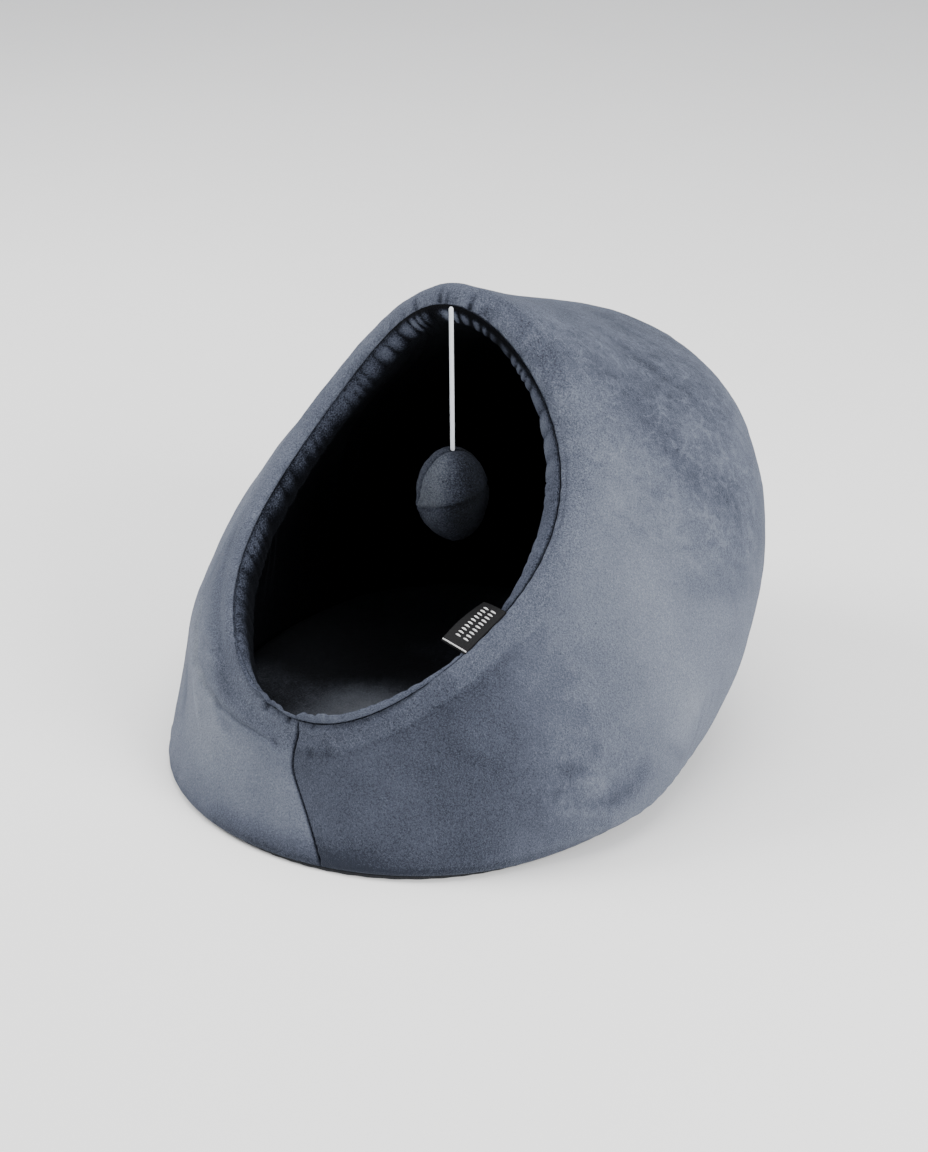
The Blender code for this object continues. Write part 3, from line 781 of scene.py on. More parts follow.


# ---- which way the pile lies, with painted light and shade ----------------------------------------
# Partly the pile's nap and real scuffs, partly painted light and shade: the crown and the right edge
# darker, the flanks, the left panel and the slumped rim's outside lighter, the left foot darker by the
# floor.
NAP_AND_SHADING_PATCHES = (
    # name, angle, share, strength, angle spread, share spread
    ("left front panel", -30.0, 0.38, 0.20, 24.0, 0.30),
    ("outer side of the left rim", -53.0, 0.56, 0.15, 12.0, 0.16),
    ("left foot", -8.0, 0.00, -0.36, 24.0, 0.09),
    ("crown", 160.0, 0.78, -0.21, 20.0, 0.30),
    ("crown's far side", 171.0, 0.74, -0.15, 11.0, 0.34),
    ("crown's right side", 140.0, 0.78, -0.07, 14.0, 0.16),
    ("upper flank", 122.0, 0.92, 0.08, 13.0, 0.16),
    ("dark right edge", 128.0, 0.55, -0.14, 10.0, 0.20),
    ("flank", 102.0, 0.55, 0.13, 18.0, 0.34),
    ("low flank", 93.0, 0.20, 0.11, 14.0, 0.16),
    ("scuff by the foot", 71.0, 0.13, -0.20, 5.0, 0.030),
    ("pale scuff beside it", 66.0, 0.20, 0.14, 4.0, 0.040),
    ("second scuff", 77.0, 0.16, -0.13, 3.0, 0.030),
)
CRUSHED = (
    # name, angle, share, strength, angle spread, share spread
    ("crown and shoulder", 148.0, 0.80, 1.00, 25.0, 0.30),
    ("right edge", 126.0, 0.55, 0.60, 12.0, 0.22),
    ("left cheek", -42.0, 0.62, 0.45, 16.0, 0.26),
    ("low front", 62.0, 0.22, 0.70, 14.0, 0.16),
    ("back", -150.0, 0.70, 0.70, 34.0, 0.30),
)
FRONT_DARK = -0.29                   # the front panel's pile lies away from the light
FRONT_DARK_EDGE = (64.0, 20.0)       # angle of its right edge at the foot, and how much it leans
CM_PER_DEGREE = 0.33                 # along the wall, about
BRUSH_LIMITS = (-8.0, 12.0)          # cm outside and inside the panel, past which nothing changes
BRUSH_AT_RIM = 11.0                  # cm by which the rolled rim is less brushed over


def patches(theta, share, table):
    """Sum of soft patches, each a bell over the angle and the height share."""
    return sum(strength * hump(theta, angle, spread) * bell(share - height, share_spread)
               for _, angle, height, strength, spread, share_spread in table)


def brush_of_skin(theta, share, rim):
    """Centimetres, about, inside the front panel whose pile is brushed the other way.

    It runs from the front seam to a line that leans to the right as it climbs.
    """
    degrees = np.degrees(turn_between(theta, 0.0))
    inside = (FRONT_DARK_EDGE[0] + FRONT_DARK_EDGE[1] * share - degrees) * CM_PER_DEGREE
    brushed = np.clip(inside, *BRUSH_LIMITS) - BRUSH_AT_RIM * rim
    return np.where(degrees > -0.05, brushed, BRUSH_LIMITS[0])


# ---- pieces ------------------------------------------------------------------------------------------
FINE_STEPS = 20000                   # round the cave, for the running sum below


def column_angles(count):
    """Angles of a grid's columns: even, but crowded together at the front seam.

    They are evenly spaced in the running sum of 1 + crowding * exp(-(angle / spread)^2).
    """
    fine = np.linspace(-math.pi, math.pi, FINE_STEPS + 1)
    density = 1 + SEAM_CROWDING * bell(fine, math.radians(SEAM_CROWDING_SPREAD))
    total = np.concatenate([[0.0], np.cumsum((density[1:] + density[:-1]) / 2)])
    even = (np.arange(count) / count - 0.5) * total[-1] + total[FINE_STEPS // 2]
    return np.interp(np.mod(even, total[-1]), total, fine)


def front_seam_depth(distance, travel):
    """Depth of the front seam: a narrow groove notched by its stitches, in a soft wide slope."""
    notch = 1 + FRONT_STITCH_NOTCH * np.cos(2 * math.pi * travel / FRONT_STITCH_PITCH)
    narrow = FRONT_GROOVE_DEPTH * notch * bell(distance, FRONT_GROOVE_HALF)
    wide = FRONT_SHOULDER_DEPTH * bell(distance, FRONT_SHOULDER_HALF)
    return narrow + wide


def rim_band(theta, share):
    """Where the rolled rim ends on the wall: how far it is pressed in, its rim mark and its pile's lie.

    The band is narrow but for the front left, where the rim slumps down the wall and bulges over a
    deep crease. Its lower edge wanders on two sines.
    """
    left = hump(theta, RIM_BAND_LEFT_ANGLE, RIM_BAND_LEFT_SPREAD)
    edge = 1 - RIM_BAND - RIM_BAND_LEFT * left
    depth = RIM_BAND_DEPTH + (RIM_BAND_LEFT_DEPTH - RIM_BAND_DEPTH) * left
    wander = 0.012 * np.sin(17 * theta) + 0.008 * np.sin(41 * theta + 1.0)
    across = np.clip((share - edge) / (1 - edge), 0, 1)
    bulge = RIM_BULGE_LEFT * left * np.sin(math.pi * across) ** 2
    pressed_in = depth * bell(share - edge - wander, BAND_LINE_HALF) - bulge
    fade = RIM_FADE * (1 - 0.75 * left)
    low = edge - 0.7 * fade + 0.02 * left
    rim = rise(share - wander, low, low + fade)
    pale_line = BAND_EDGE_NAP * left * bell(share - edge + BAND_EDGE_DOWN - wander, BAND_EDGE_HALF)
    return pressed_in, rim, (RIM_NAP + RIM_NAP_LEFT * left) * rim + pale_line


def skin_face(angles):
    """Rows of the skin's outer face from where it turns under up to the crest, with its marks."""
    shares = np.linspace(FOOT_TURN_SHARE, 1.0, WALL_ROWS)
    share, theta = np.meshgrid(shares, angles, indexing="ij")
    points, normal = outer_face(theta, share, seam_shift(theta, share))
    middle = np.argmin(np.abs(angles))
    distance = np.linalg.norm(points - points[:, middle:middle + 1], axis=-1)
    travel = np.cumsum(np.linalg.norm(np.diff(points, axis=0, prepend=points[:1]), axis=-1), axis=0)
    depth, pressed = all_folds(points)
    pressed_in, rim, rim_nap = rim_band(theta, share)
    uneven = rippled(points, SKIN_UNEVENNESS) * rise(share, FOOT_TURN_SHARE, 0.10)
    puckers = np.cos(FOOT_PUCKER_COUNT * theta + 2.5 * np.sin(5 * theta) + 1.6 * np.sin(11 * theta + 1.0))
    puckers = FOOT_PUCKER_DEPTH * puckers * bell(share, FOOT_PUCKER_REACH)
    top_fill = TOP_FILL * hump(theta, *TOP_FILL_ANGLE) * bell(share - TOP_FILL_SHARE[0], TOP_FILL_SHARE[1])
    moved = ((uneven + puckers + depth - pressed_in) * (1 - bell(distance, FRONT_SEAM_HOLD))
             + top_fill - front_seam_depth(distance, travel))
    # The nap mark also takes painted light and shade: on folds and pressed marks, in the patches and in the
    # front seam.
    nap_and_shading = rippled(points, SKIN_NAP_RIPPLES) + patches(theta, share, NAP_AND_SHADING_PATCHES) + pressed + rim_nap
    nap_and_shading = nap_and_shading - FRONT_SEAM_SHADE * bell(distance, FRONT_SEAM_SHADE_HALF)
    marks = {"nap_and_shading": nap_and_shading, "rim": rim, "brush": brush_of_skin(theta, share, rim),
             "crush": patches(theta, share, CRUSHED)}
    return points + normal * moved[..., None], marks, distance[-1]


def skin_foot(first_row, angles):
    """Rows by which the skin turns under: a quadratic curve round the foot's drooping edge."""
    turned = seam_shift(angles, np.zeros_like(angles))
    foot, _ = outer_face(angles, np.zeros_like(angles), turned)
    under = foot - foot_outward(turned) * FOOT_TURN_IN
    front = hump(angles, *FOOT_FRONT) ** 2
    droop = FOOT_DROOP_SIDES + (FOOT_DROOP_FRONT - FOOT_DROOP_SIDES) * front
    corner = foot - UP * (1.25 * droop)[:, None]
    t = np.linspace(0.0, 1.0, FOOT_TURN_ROWS + 1)[:-1, None, None]
    rows = (1 - t) ** 2 * under + 2 * (1 - t) * t * corner + t ** 2 * first_row
    rows[..., 2] = np.maximum(rows[..., 2], FOOT_OFF_FLOOR)
    return rows


SECOND_ROW_ANGLE = (108.0, 20.0)     # a second line of stitching shows beside the seam here
SECOND_ROW_GAP = 0.0042
SECOND_ROW_HALF = 0.0010
SECOND_ROW_DEPTH = 0.0006
ROLL_RUN = 0.018                     # from the crest to the seam, about
ROLL_STEP = 0.0009                   # and from one row to the next, for the front seam's stitches
ROLL_CREASE_DEPTH = 0.0015
ROLL_PUFF = 0.0026                   # the roll is fullest by the label, and hides the seam there
ROLL_PUFF_ANGLE = (64.0, 20.0)
ROLL_PUFF_GAP = 0.0030
ROLL_PUFF_HALF = 0.0040
ROLL_END = 0.0003                    # the roll stops this far from the seam's middle
ROLL_SLOPE = 0.0012                  # how far the cloth is pulled down at the seam
ROLL_SLOPE_REACH = 0.0035
ROLL_UNEVEN = ((0.0006, 0.045, 12, 31),)
ROLL_NAP_RIPPLES = ((0.035, 0.03, 14, 33),)
PUCKERS_AT_TOP = (180.0, 34.0)       # where the puckers are deepest, and the spread of that
PUCKERED_AT_TOP = 1.6                # how much deeper
# painted shade, as darker pile: in the puckers, along the second row of stitching, in the roll's creases
# and down in the seam's groove
PUCKER_SHADE = 0.05
SECOND_ROW_SHADE = 0.16
ROLL_CREASE_SHADE = 0.48
IN_GROOVE_SHADE = -0.18
GROOVE_BELOW = 0.0008                # the skin goes this much deeper than the part's groove
ROLL_CREASES = (
    # angle, angle spread (degrees), near and far gap from the seam (metres), strength
    (188.0, 1.1, 0.001, 0.013, 1.0),
    (184.3, 0.9, 0.000, 0.010, 0.7),
    (173.6, 1.1, 0.000, 0.013, 1.0),
    (167.4, 1.0, 0.002, 0.009, 0.6),
    (199.3, 1.1, 0.001, 0.010, 0.7),
    (-4.0, 1.1, 0.000, 0.008, 0.7),
    (-14.0, 1.3, 0.000, 0.010, 0.9),
    (6.5, 1.0, 0.000, 0.006, 0.5),
)


def skin_roll(angles, last_row, distance):
    """The rolled rim, from the crest over to the groove of its seam, its pile's lie and painted shade.

    A cubic curve that leaves the crest as the wall arrives and comes in level at the seam, where
    uneven puckers pull it down. Last come the rows down into the groove.
    """
    seam, away, out = mouth_frame(angles)
    t = np.linspace(0.0, 1.0, ROLL_ROWS + 1)[1:, None, None]
    crest = seam + away * RIM_WIDTH - out * RIM_DROP
    end = seam + away * ROLL_END
    over = crest - falling_away(angles) * ROLL_FULLNESS
    level = end + away * ROLL_FULLNESS
    roll = ((1 - t) ** 3 * crest + 3 * (1 - t) ** 2 * t * over
            + 3 * (1 - t) * t ** 2 * level + t ** 3 * end)
    roll = roll + (1 - t) ** 2 * (last_row - crest)
    normal = unit((1 - t) * away + t * out)
    flat = t[..., 0]
    gap = (1 - flat) * ROLL_RUN
    top = hump(angles, *PUCKERS_AT_TOP)
    pucker = 0.5 + 0.5 * np.cos(RIM_PUCKER_COUNT * angles + 2.2 * np.sin(4 * angles)
                                + 1.7 * np.sin(9 * angles + 0.6) + 1.1 * np.sin(17 * angles))
    hidden = wrapped_rim(angles)
    pull = RIM_PUCKER_DEPTH * (1 + PUCKERED_AT_TOP * top) * pucker * bell(gap, RIM_PUCKER_REACH)
    slope = ROLL_SLOPE * bell(gap, ROLL_SLOPE_REACH) * (1 - 0.7 * hidden)
    second_row = hump(angles, *SECOND_ROW_ANGLE) * bell(gap - SECOND_ROW_GAP, SECOND_ROW_HALF)
    creased = sum(strength * hump(angles, angle, spread) * rise(gap, low - 0.002, low + 0.001)
                  * (1 - rise(gap, high - 0.003, high))
                  for angle, spread, low, high, strength in ROLL_CREASES)
    along_seam = np.arange(1, ROLL_ROWS + 1)[:, None] * ROLL_STEP
    seam_dip = front_seam_depth(distance[None], along_seam) * 0.9 * (1 - flat ** 6)
    puff = ROLL_PUFF * hump(angles, *ROLL_PUFF_ANGLE) * bell(gap - ROLL_PUFF_GAP, ROLL_PUFF_HALF)
    moved = (rippled(roll, ROLL_UNEVEN) * np.sin(math.pi * flat) + puff - pull - slope - seam_dip
             - SECOND_ROW_DEPTH * second_row - ROLL_CREASE_DEPTH * creased)
    roll = roll + normal * moved[..., None]
    t = np.linspace(0.0, 1.0, GROOVE_ROWS + 1)[1:, None, None]
    sunk = (RIM_GROOVE_DEPTH + GROOVE_BELOW) * (1 - 0.6 * hidden)
    bottom = seam + away * (ROLL_END * 0.9) - out * sunk[:, None]
    groove = roll[-1] + (bottom - roll[-1]) * t
    # Painted shade where the cloth is pulled in, creased or sunk into the groove.
    nap_and_shading = (RIM_NAP - PUCKER_SHADE * (1 + top) * pucker ** 3 * bell(gap, RIM_PUCKER_REACH)
           + rippled(roll, ROLL_NAP_RIPPLES) - SECOND_ROW_SHADE * second_row - ROLL_CREASE_SHADE * creased)
    in_groove = IN_GROOVE_SHADE * (1 - hidden) + RIM_NAP * hidden
    nap_and_shading = np.concatenate([nap_and_shading, np.tile(in_groove, (GROOVE_ROWS, 1))])
    return np.concatenate([roll, groove]), nap_and_shading


FOOT_SHADE = -0.10                     # painted shade: the turned-under foot is this much darker
# painted shade on the skin's hidden face behind the lining
HIDDEN_FACE_SHADE = -0.4


def make_skin(material):
    """The velour skin over its padding, closed behind the lining by a plain hidden face."""
    angles = column_angles(SHELL_COLUMNS)
    face, marks, distance = skin_face(angles)
    foot = skin_foot(face[0], angles)
    roll, roll_nap_and_shading = skin_roll(angles, face[-1], distance)
    behind, _, _ = lining_sheet(angles, HIDDEN_DEPTH, HIDDEN_LIP_ROWS, HIDDEN_ROWS)
    grid = np.concatenate([foot, face, roll, behind])
    blend = np.linspace(0.0, 1.0, ROLL_ROWS)[:, None]
    roll_nap_and_shading[:ROLL_ROWS] = marks["nap_and_shading"][-1] * (1 - blend) + roll_nap_and_shading[:ROLL_ROWS] * blend
    skin = ring_piece("velour_skin", grid, material)
    tail = len(roll) + len(behind)
    for name, values in marks.items():
        after = np.repeat(values[-1:], tail, axis=0)
        if name == "nap_and_shading":
            after[:len(roll)] = roll_nap_and_shading
            after[len(roll):] = HIDDEN_FACE_SHADE
        before = np.repeat(values[:1] + (FOOT_SHADE if name == "nap_and_shading" else 0.0), len(foot), axis=0)
        mark(skin, name, np.concatenate([before, values, after]))
    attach(skin, "root")
    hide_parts("outer_shell")
    return skin


LINING_COLUMNS = 520
LINING_LIP_ROWS = 22
LINING_INNER_ROWS = 46
LINING_BACK_ROWS = 24
GATHER_COUNT = 74
GATHER_TOP = 0.0030                  # how far the gathers stand proud at the top of the mouth
GATHER_FRONT = 0.0024
GATHER_SIDES = 0.0013
GATHER_RIGHT = 0.0010                # and this much more at the right
GATHER_LEFT = 0.0008                 # and at the left
GATHER_PLACES = (
    # angle and angle spread of the top, the front, the right and the left
    (180.0, 38.0),
    (-2.0, 15.0),
    (120.0, 30.0),
    (-84.0, 30.0),
)
GATHER_LEAN = 3.6                    # radians that a fold at the side leans for each metre down
GATHER_GROWTH = (0.0002, 0.0060)     # travel from the seam over which the gathers grow
GATHER_FADE = 0.045                  # and about where they have faded out
GATHER_CONTRAST = (0.20, 1.10, 0.12)  # painted light on their crests, shade in their tucks: all round, and how much more on top and at the left
LINING_FOLDS = 9                     # long soft folds that slant down the inside wall
LINING_FOLD_DEPTH = 0.0028
# painted light and shade on the slanting folds: lighter where they stand out
LINING_FOLD_SHADING = 0.06
LINING_UNEVEN = 0.0012
LINING_OFF_FLOOR = (0.045, 0.080)    # the folds run out between these heights, over the cushion
LINING_NAP_RIPPLES = ((0.05, 0.05, 14, 45),)
LINING_SEAM_SHADE = 0.12             # how much darker it is right in the seam
LINING_SEAM_HALF = 0.0006
# painted shade on the lining's hidden back
HIDDEN_LINING_SHADE = -0.3
LINING_RIM = 0.7                     # its pile stands about as the rolled rim's does
LIP_PUFFS = (
    # name, angle, angle spread, height, travel from the seam where fullest, reach beyond it
    ("right side", 108.0, 46.0, 0.0125, 0.0130, 0.0120),
    ("left side", -112.0, 40.0, 0.0045, 0.0120, 0.0120),
    ("front left", -38.0, 26.0, 0.0050, 0.0100, 0.0120),
    ("front lip", 20.0, 38.0, 0.0020, 0.0060, 0.0120),
)
LIP_LIFTS = (
    # the same, for places where the lip is pushed straight up
    ("front lip", 20.0, 34.0, 0.0105, 0.0065, 0.0120),
    ("gather left of the seam, far", -17.5, 2.8, 0.0034, 0.0050, 0.0080),
    ("gather left of the seam, near", -10.0, 2.4, 0.0042, 0.0050, 0.0080),
    ("gather right of the seam, near", 4.0, 2.6, 0.0028, 0.0040, 0.0070),
    ("gather right of the seam, far", 10.5, 2.8, 0.0020, 0.0040, 0.0070),
)
LIP_TONES = (
    # name, angle, angle spread, tone at the seam (part nap, part painted shade), travel at which the
    # painted shade inside starts and ends to set in
    ("upper left", -140.0, 26.0, -0.17, 0.003, 0.026),
    ("left", -84.0, 26.0, -0.29, 0.001, 0.020),
    ("front left", -40.0, 24.0, -0.16, 0.006, 0.020),
    ("front", 18.0, 30.0, -0.08, 0.014, 0.050),
    ("right", 95.0, 38.0, -0.11, 0.012, 0.040),
    ("top", 178.0, 28.0, -0.56, 0.004, 0.024),
)
LIP_OVERHANG = 0.0012                # how far a puff may lean forward over the seam
LINING_SHADE_INSIDE = -0.60                     # painted shade: how dark the lining gets deep inside


def lip_swell(angles, travel, table):
    """Sum of a table's swells: each rises from the seam to its fullest place, then falls as a bell."""
    return sum(height * hump(angles, angle, spread) * rise(travel, 0.0, at)
               * bell(np.maximum(travel - at, 0.0), reach)
               for _, angle, spread, height, at, reach in table)


def make_lining(material):
    """Thin lining, eased into the rim's seam: gathers at the lip, soft slanting folds below.

    The gathers grow within a few millimetres of the seam and fade out down the inside. Every
    fold stands into the cave, so the lining stays clear of the padding behind it.
    """
    angles = column_angles(LINING_COLUMNS)
    face, into, travel = lining_sheet(angles, 0.0, LINING_LIP_ROWS, LINING_INNER_ROWS)
    back, _, _ = lining_sheet(angles, LINING_THICKNESS, LINING_LIP_ROWS // 3, LINING_BACK_ROWS)
    top, front, right, left = (hump(angles, *place) for place in GATHER_PLACES)
    size = (GATHER_SIDES + (GATHER_TOP - GATHER_SIDES) * top + (GATHER_FRONT - GATHER_SIDES) * front
            + GATHER_RIGHT * right + GATHER_LEFT * left)
    lean = angles + GATHER_LEAN * travel * np.sin(angles)
    growth = rise(travel, *GATHER_GROWTH) * np.exp(-(travel / GATHER_FADE) ** 1.5)
    puffs = gathers(lean, GATHER_COUNT, 41) * size * growth
    wide = gathers(lean + 0.3, LINING_FOLDS * 2, 43, 0.9)
    folds = LINING_FOLD_DEPTH * wide * rise(travel, 0.01, 0.06)
    uneven = LINING_UNEVEN * (0.5 + 0.5 * ripples(face, 0.035, 14, 44)) * rise(travel, 0.004, 0.03)
    off_floor = rise(face[..., 2], *LINING_OFF_FLOOR)
    puff, lift = (lip_swell(angles, travel, table) for table in (LIP_PUFFS, LIP_LIFTS))
    push = into * (puffs + puff + (folds + uneven) * off_floor)[..., None]
    push[..., 1] = np.maximum(push[..., 1], -LIP_OVERHANG)
    face = face + push + UP * lift[..., None]
    # The lip's tone at the seam is partly nap and partly painted shade; further in, painted shade darkens
    # the lining almost to black.
    weights = np.array([hump(angles, angle, spread) + 1e-4 for _, angle, spread, *_ in LIP_TONES])
    at_seam, starts, ends = (np.array([row[column] for row in LIP_TONES]) @ weights / weights.sum(axis=0)
                             for column in (3, 4, 5))
    # Painted light on the gathers' crests and painted shade in their tucks and between the folds.
    everywhere, on_top, at_left = GATHER_CONTRAST
    contrast = everywhere + on_top * top + at_left * left
    nap_and_shading = at_seam + contrast * (puffs / GATHER_TOP - 0.25) + LINING_FOLD_SHADING * (wide - 0.6)
    nap_and_shading = nap_and_shading + rippled(face, LINING_NAP_RIPPLES) + LINING_SHADE_INSIDE * rise(travel, starts, ends)
    nap_and_shading = nap_and_shading - LINING_SEAM_SHADE * bell(travel, LINING_SEAM_HALF) * (1 - wrapped_rim(angles))
    grid = np.concatenate([back, face[::-1]])
    lining = ring_piece("lining_cloth", grid, material, flip=True)
    mark(lining, "nap_and_shading", np.concatenate([np.full(back.shape[:2], HIDDEN_LINING_SHADE), nap_and_shading[::-1]]))
    mark(lining, "rim", np.full(grid.shape[:2], LINING_RIM))
    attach(lining, "root")
    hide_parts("lining")
    return lining


BASE_COLUMNS = 360
BASE_WAVES = 90
BASE_WAVE_DEPTH = 0.00025


def make_base(material):
    """Dark bottom cloth: a thin oval panel with a soft, slightly wavy sewn edge."""
    angles = np.linspace(0.0, 2 * math.pi, BASE_COLUMNS, endpoint=False)
    foot, _ = outer_face(angles, np.zeros_like(angles))
    outward = foot_outward(angles)
    wave = BASE_WAVE_DEPTH * np.cos(BASE_WAVES * angles + 2 * np.sin(7 * angles))
    inset = BASE_EDGE_IN + (BASE_EDGE_IN_FRONT - BASE_EDGE_IN) * hump(angles, *FOOT_FRONT) ** 2
    edge = foot - outward * (inset + wave)[:, None]
    centre = np.array([FOOT_MIDDLE_X, PLAN_CENTRE_Y, 0.0])
    half = BASE_THICKNESS / 2
    round_turn = np.linspace(math.pi / 2, -math.pi / 2, 9)
    rim = [edge * (1, 1, 0) - outward * half * (1 - math.cos(a)) + UP * (half + half * math.sin(a))
           for a in round_turn]
    scales = (0.05, 0.4, 0.8)
    above = [centre + (rim[0] - centre) * (s, s, 0) + UP * BASE_THICKNESS for s in scales]
    below = [centre + (rim[-1] - centre) * (s, s, 0) for s in scales[::-1]]
    grid = np.array(above + rim + below)
    base = capped_piece("bottom_cloth", grid, material, flip=True)
    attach(base, "root")
    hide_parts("base")
    return base


CUSHION_COLUMNS = 150
CUSHION_RINGS = 56
POLE_GAP = 0.04                      # radians left open at its two poles, closed by flat faces
CUSHION_RIPPLES = ((0.0016, 0.085, 12, 51), (0.0005, 0.03, 14, 52))
CUSHION_HOLLOW = 0.004               # depth of the hollow where a cat lies
CUSHION_HOLLOW_X = (-0.02, 0.075)    # its middle and half width
CUSHION_HOLLOW_Y = (-0.03, 0.09)
CUSHION_PINCH = 0.0016               # how far the seam round its side is drawn in
CUSHION_PINCH_HALF = 0.10            # in shares of its height
CUSHION_PUCKERS = 96
CUSHION_PUCKER_DEPTH = 0.0006
CUSHION_NAP = 0.41
CUSHION_NAP_RIPPLES = ((0.12, 0.06, 14, 53),)
CUSHION_SEAM_SHADE = 0.2
CUSHION_BACK_SHADE = 0.72            # how much darker it gets inside the cave
CUSHION_BACK = (-0.100, -0.035)      # between these places, in Y
CUSHION_LEFT_SHADE = 0.60            # and towards the left
CUSHION_LEFT = (0.012, 0.080)        # between these places, in -X


def make_cushion(material):
    """Filled oval pad: a sphere's rings spread over the floor, crowned, seamed round its side.

    The level reach of a ring is the inside of the cave less the clearance, times the sine of
    its latitude to a power under one, which keeps the pad full out to its edge.
    """
    angles = np.linspace(0.0, 2 * math.pi, CUSHION_COLUMNS, endpoint=False)
    latitude = np.linspace(POLE_GAP, math.pi - POLE_GAP, CUSHION_RINGS)
    up_share = np.cos(latitude)
    rise_z = np.where(up_share > 0, CUSHION_TOP_Z - CUSHION_SEAM_Z, CUSHION_SEAM_Z - WALL_FOOT_Z)
    height = CUSHION_SEAM_Z + rise_z * up_share
    spread = np.sin(latitude) ** CUSHION_SIDE_POWER
    rows = []
    for z, reach in zip(height, spread):
        radius = (inside_radius(angles, np.full(CUSHION_COLUMNS, z)) - CUSHION_CLEARANCE) * reach
        rows.append(np.stack([MIDDLE_X + radius * np.sin(angles),
                              PLAN_CENTRE_Y - radius * np.cos(angles),
                              np.full(CUSHION_COLUMNS, z)], axis=-1))
    grid = np.array(rows)
    top = rise(up_share, 0.1, 0.6)[:, None]
    (hollow_x, half_x), (hollow_y, half_y) = CUSHION_HOLLOW_X, CUSHION_HOLLOW_Y
    hollow = bell(grid[..., 0] - hollow_x, half_x) * bell(grid[..., 1] - hollow_y, half_y)
    grid[..., 2] += (rippled(grid, CUSHION_RIPPLES) - CUSHION_HOLLOW * hollow) * top
    puckers = CUSHION_PUCKER_DEPTH * np.cos(CUSHION_PUCKERS * angles + 2 * np.sin(6 * angles))[None]
    pinch = bell(up_share, CUSHION_PINCH_HALF)[:, None]
    centre = np.array([MIDDLE_X, PLAN_CENTRE_Y, 0.0])
    outward = unit((grid - centre) * (1, 1, 0))
    grid = grid - outward * ((CUSHION_PINCH + puckers) * pinch)[..., None]
    cushion = capped_piece("cushion_pad", grid, material, flip=True)
    nap_and_shading = (CUSHION_NAP + rippled(grid, CUSHION_NAP_RIPPLES) - CUSHION_SEAM_SHADE * pinch
           - CUSHION_BACK_SHADE * rise(grid[..., 1], *CUSHION_BACK)
           - CUSHION_LEFT_SHADE * rise(-grid[..., 0], *CUSHION_LEFT))
    mark(cushion, "nap_and_shading", nap_and_shading)
    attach(cushion, "root")
    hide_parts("cushion")
    return cushion


BALL_COLUMNS = 160
BALL_RINGS = 100
BALL_POLE = (-0.603, -0.773, -0.179)  # where the toy's panels meet, on its left in the photograph
BALL_SHADED_SIDE = (0.83, 0.55, 0.0)   # painted shade: the toy is darkest on this side
BALL_SHADE = 0.60                     # by this much
BALL_SHADE_FROM = (-0.60, 0.55)       # coming in between these cosines of the angle to it
BALL_OPEN = 0.03                     # radians left open at its top and bottom, closed by flat faces
BALL_RIPPLES = ((0.0005, 0.024, 12, 61), (0.00022, 0.008, 14, 62))
BALL_NAP_RIPPLES = ((0.04, 0.02, 12, 63),)
BALL_GROOVE_DEPTH = 0.0009
BALL_GROOVE_HALF = 0.0010
BALL_SHOULDER_SHARE = 0.4            # the soft trough about a seam: its share of the depth
BALL_SHOULDER_HALF = 0.0035
BALL_GROOVE_SHADE = 0.14
BALL_NUB_HEIGHT = 0.0026
BALL_NUB_REACH = 0.15                # in radians from the pole
BALL_PLEATS = 9
BALL_PLEAT_DEPTH = 0.0004
BALL_PLEAT_MIDDLE = 0.35             # in radians from the pole
BALL_PLEAT_SPREAD = 0.25
BALL_RIM = 0.8                       # its pile stands about as the rolled rim's does
BALL_PANELS = (
    # bearing of the panel's first seam about the pole, and how its pile looks
    (-172.5, 0.27),
    (-95.0, 0.02),
    (10.0, -0.02),
    (100.0, 0.00),
)


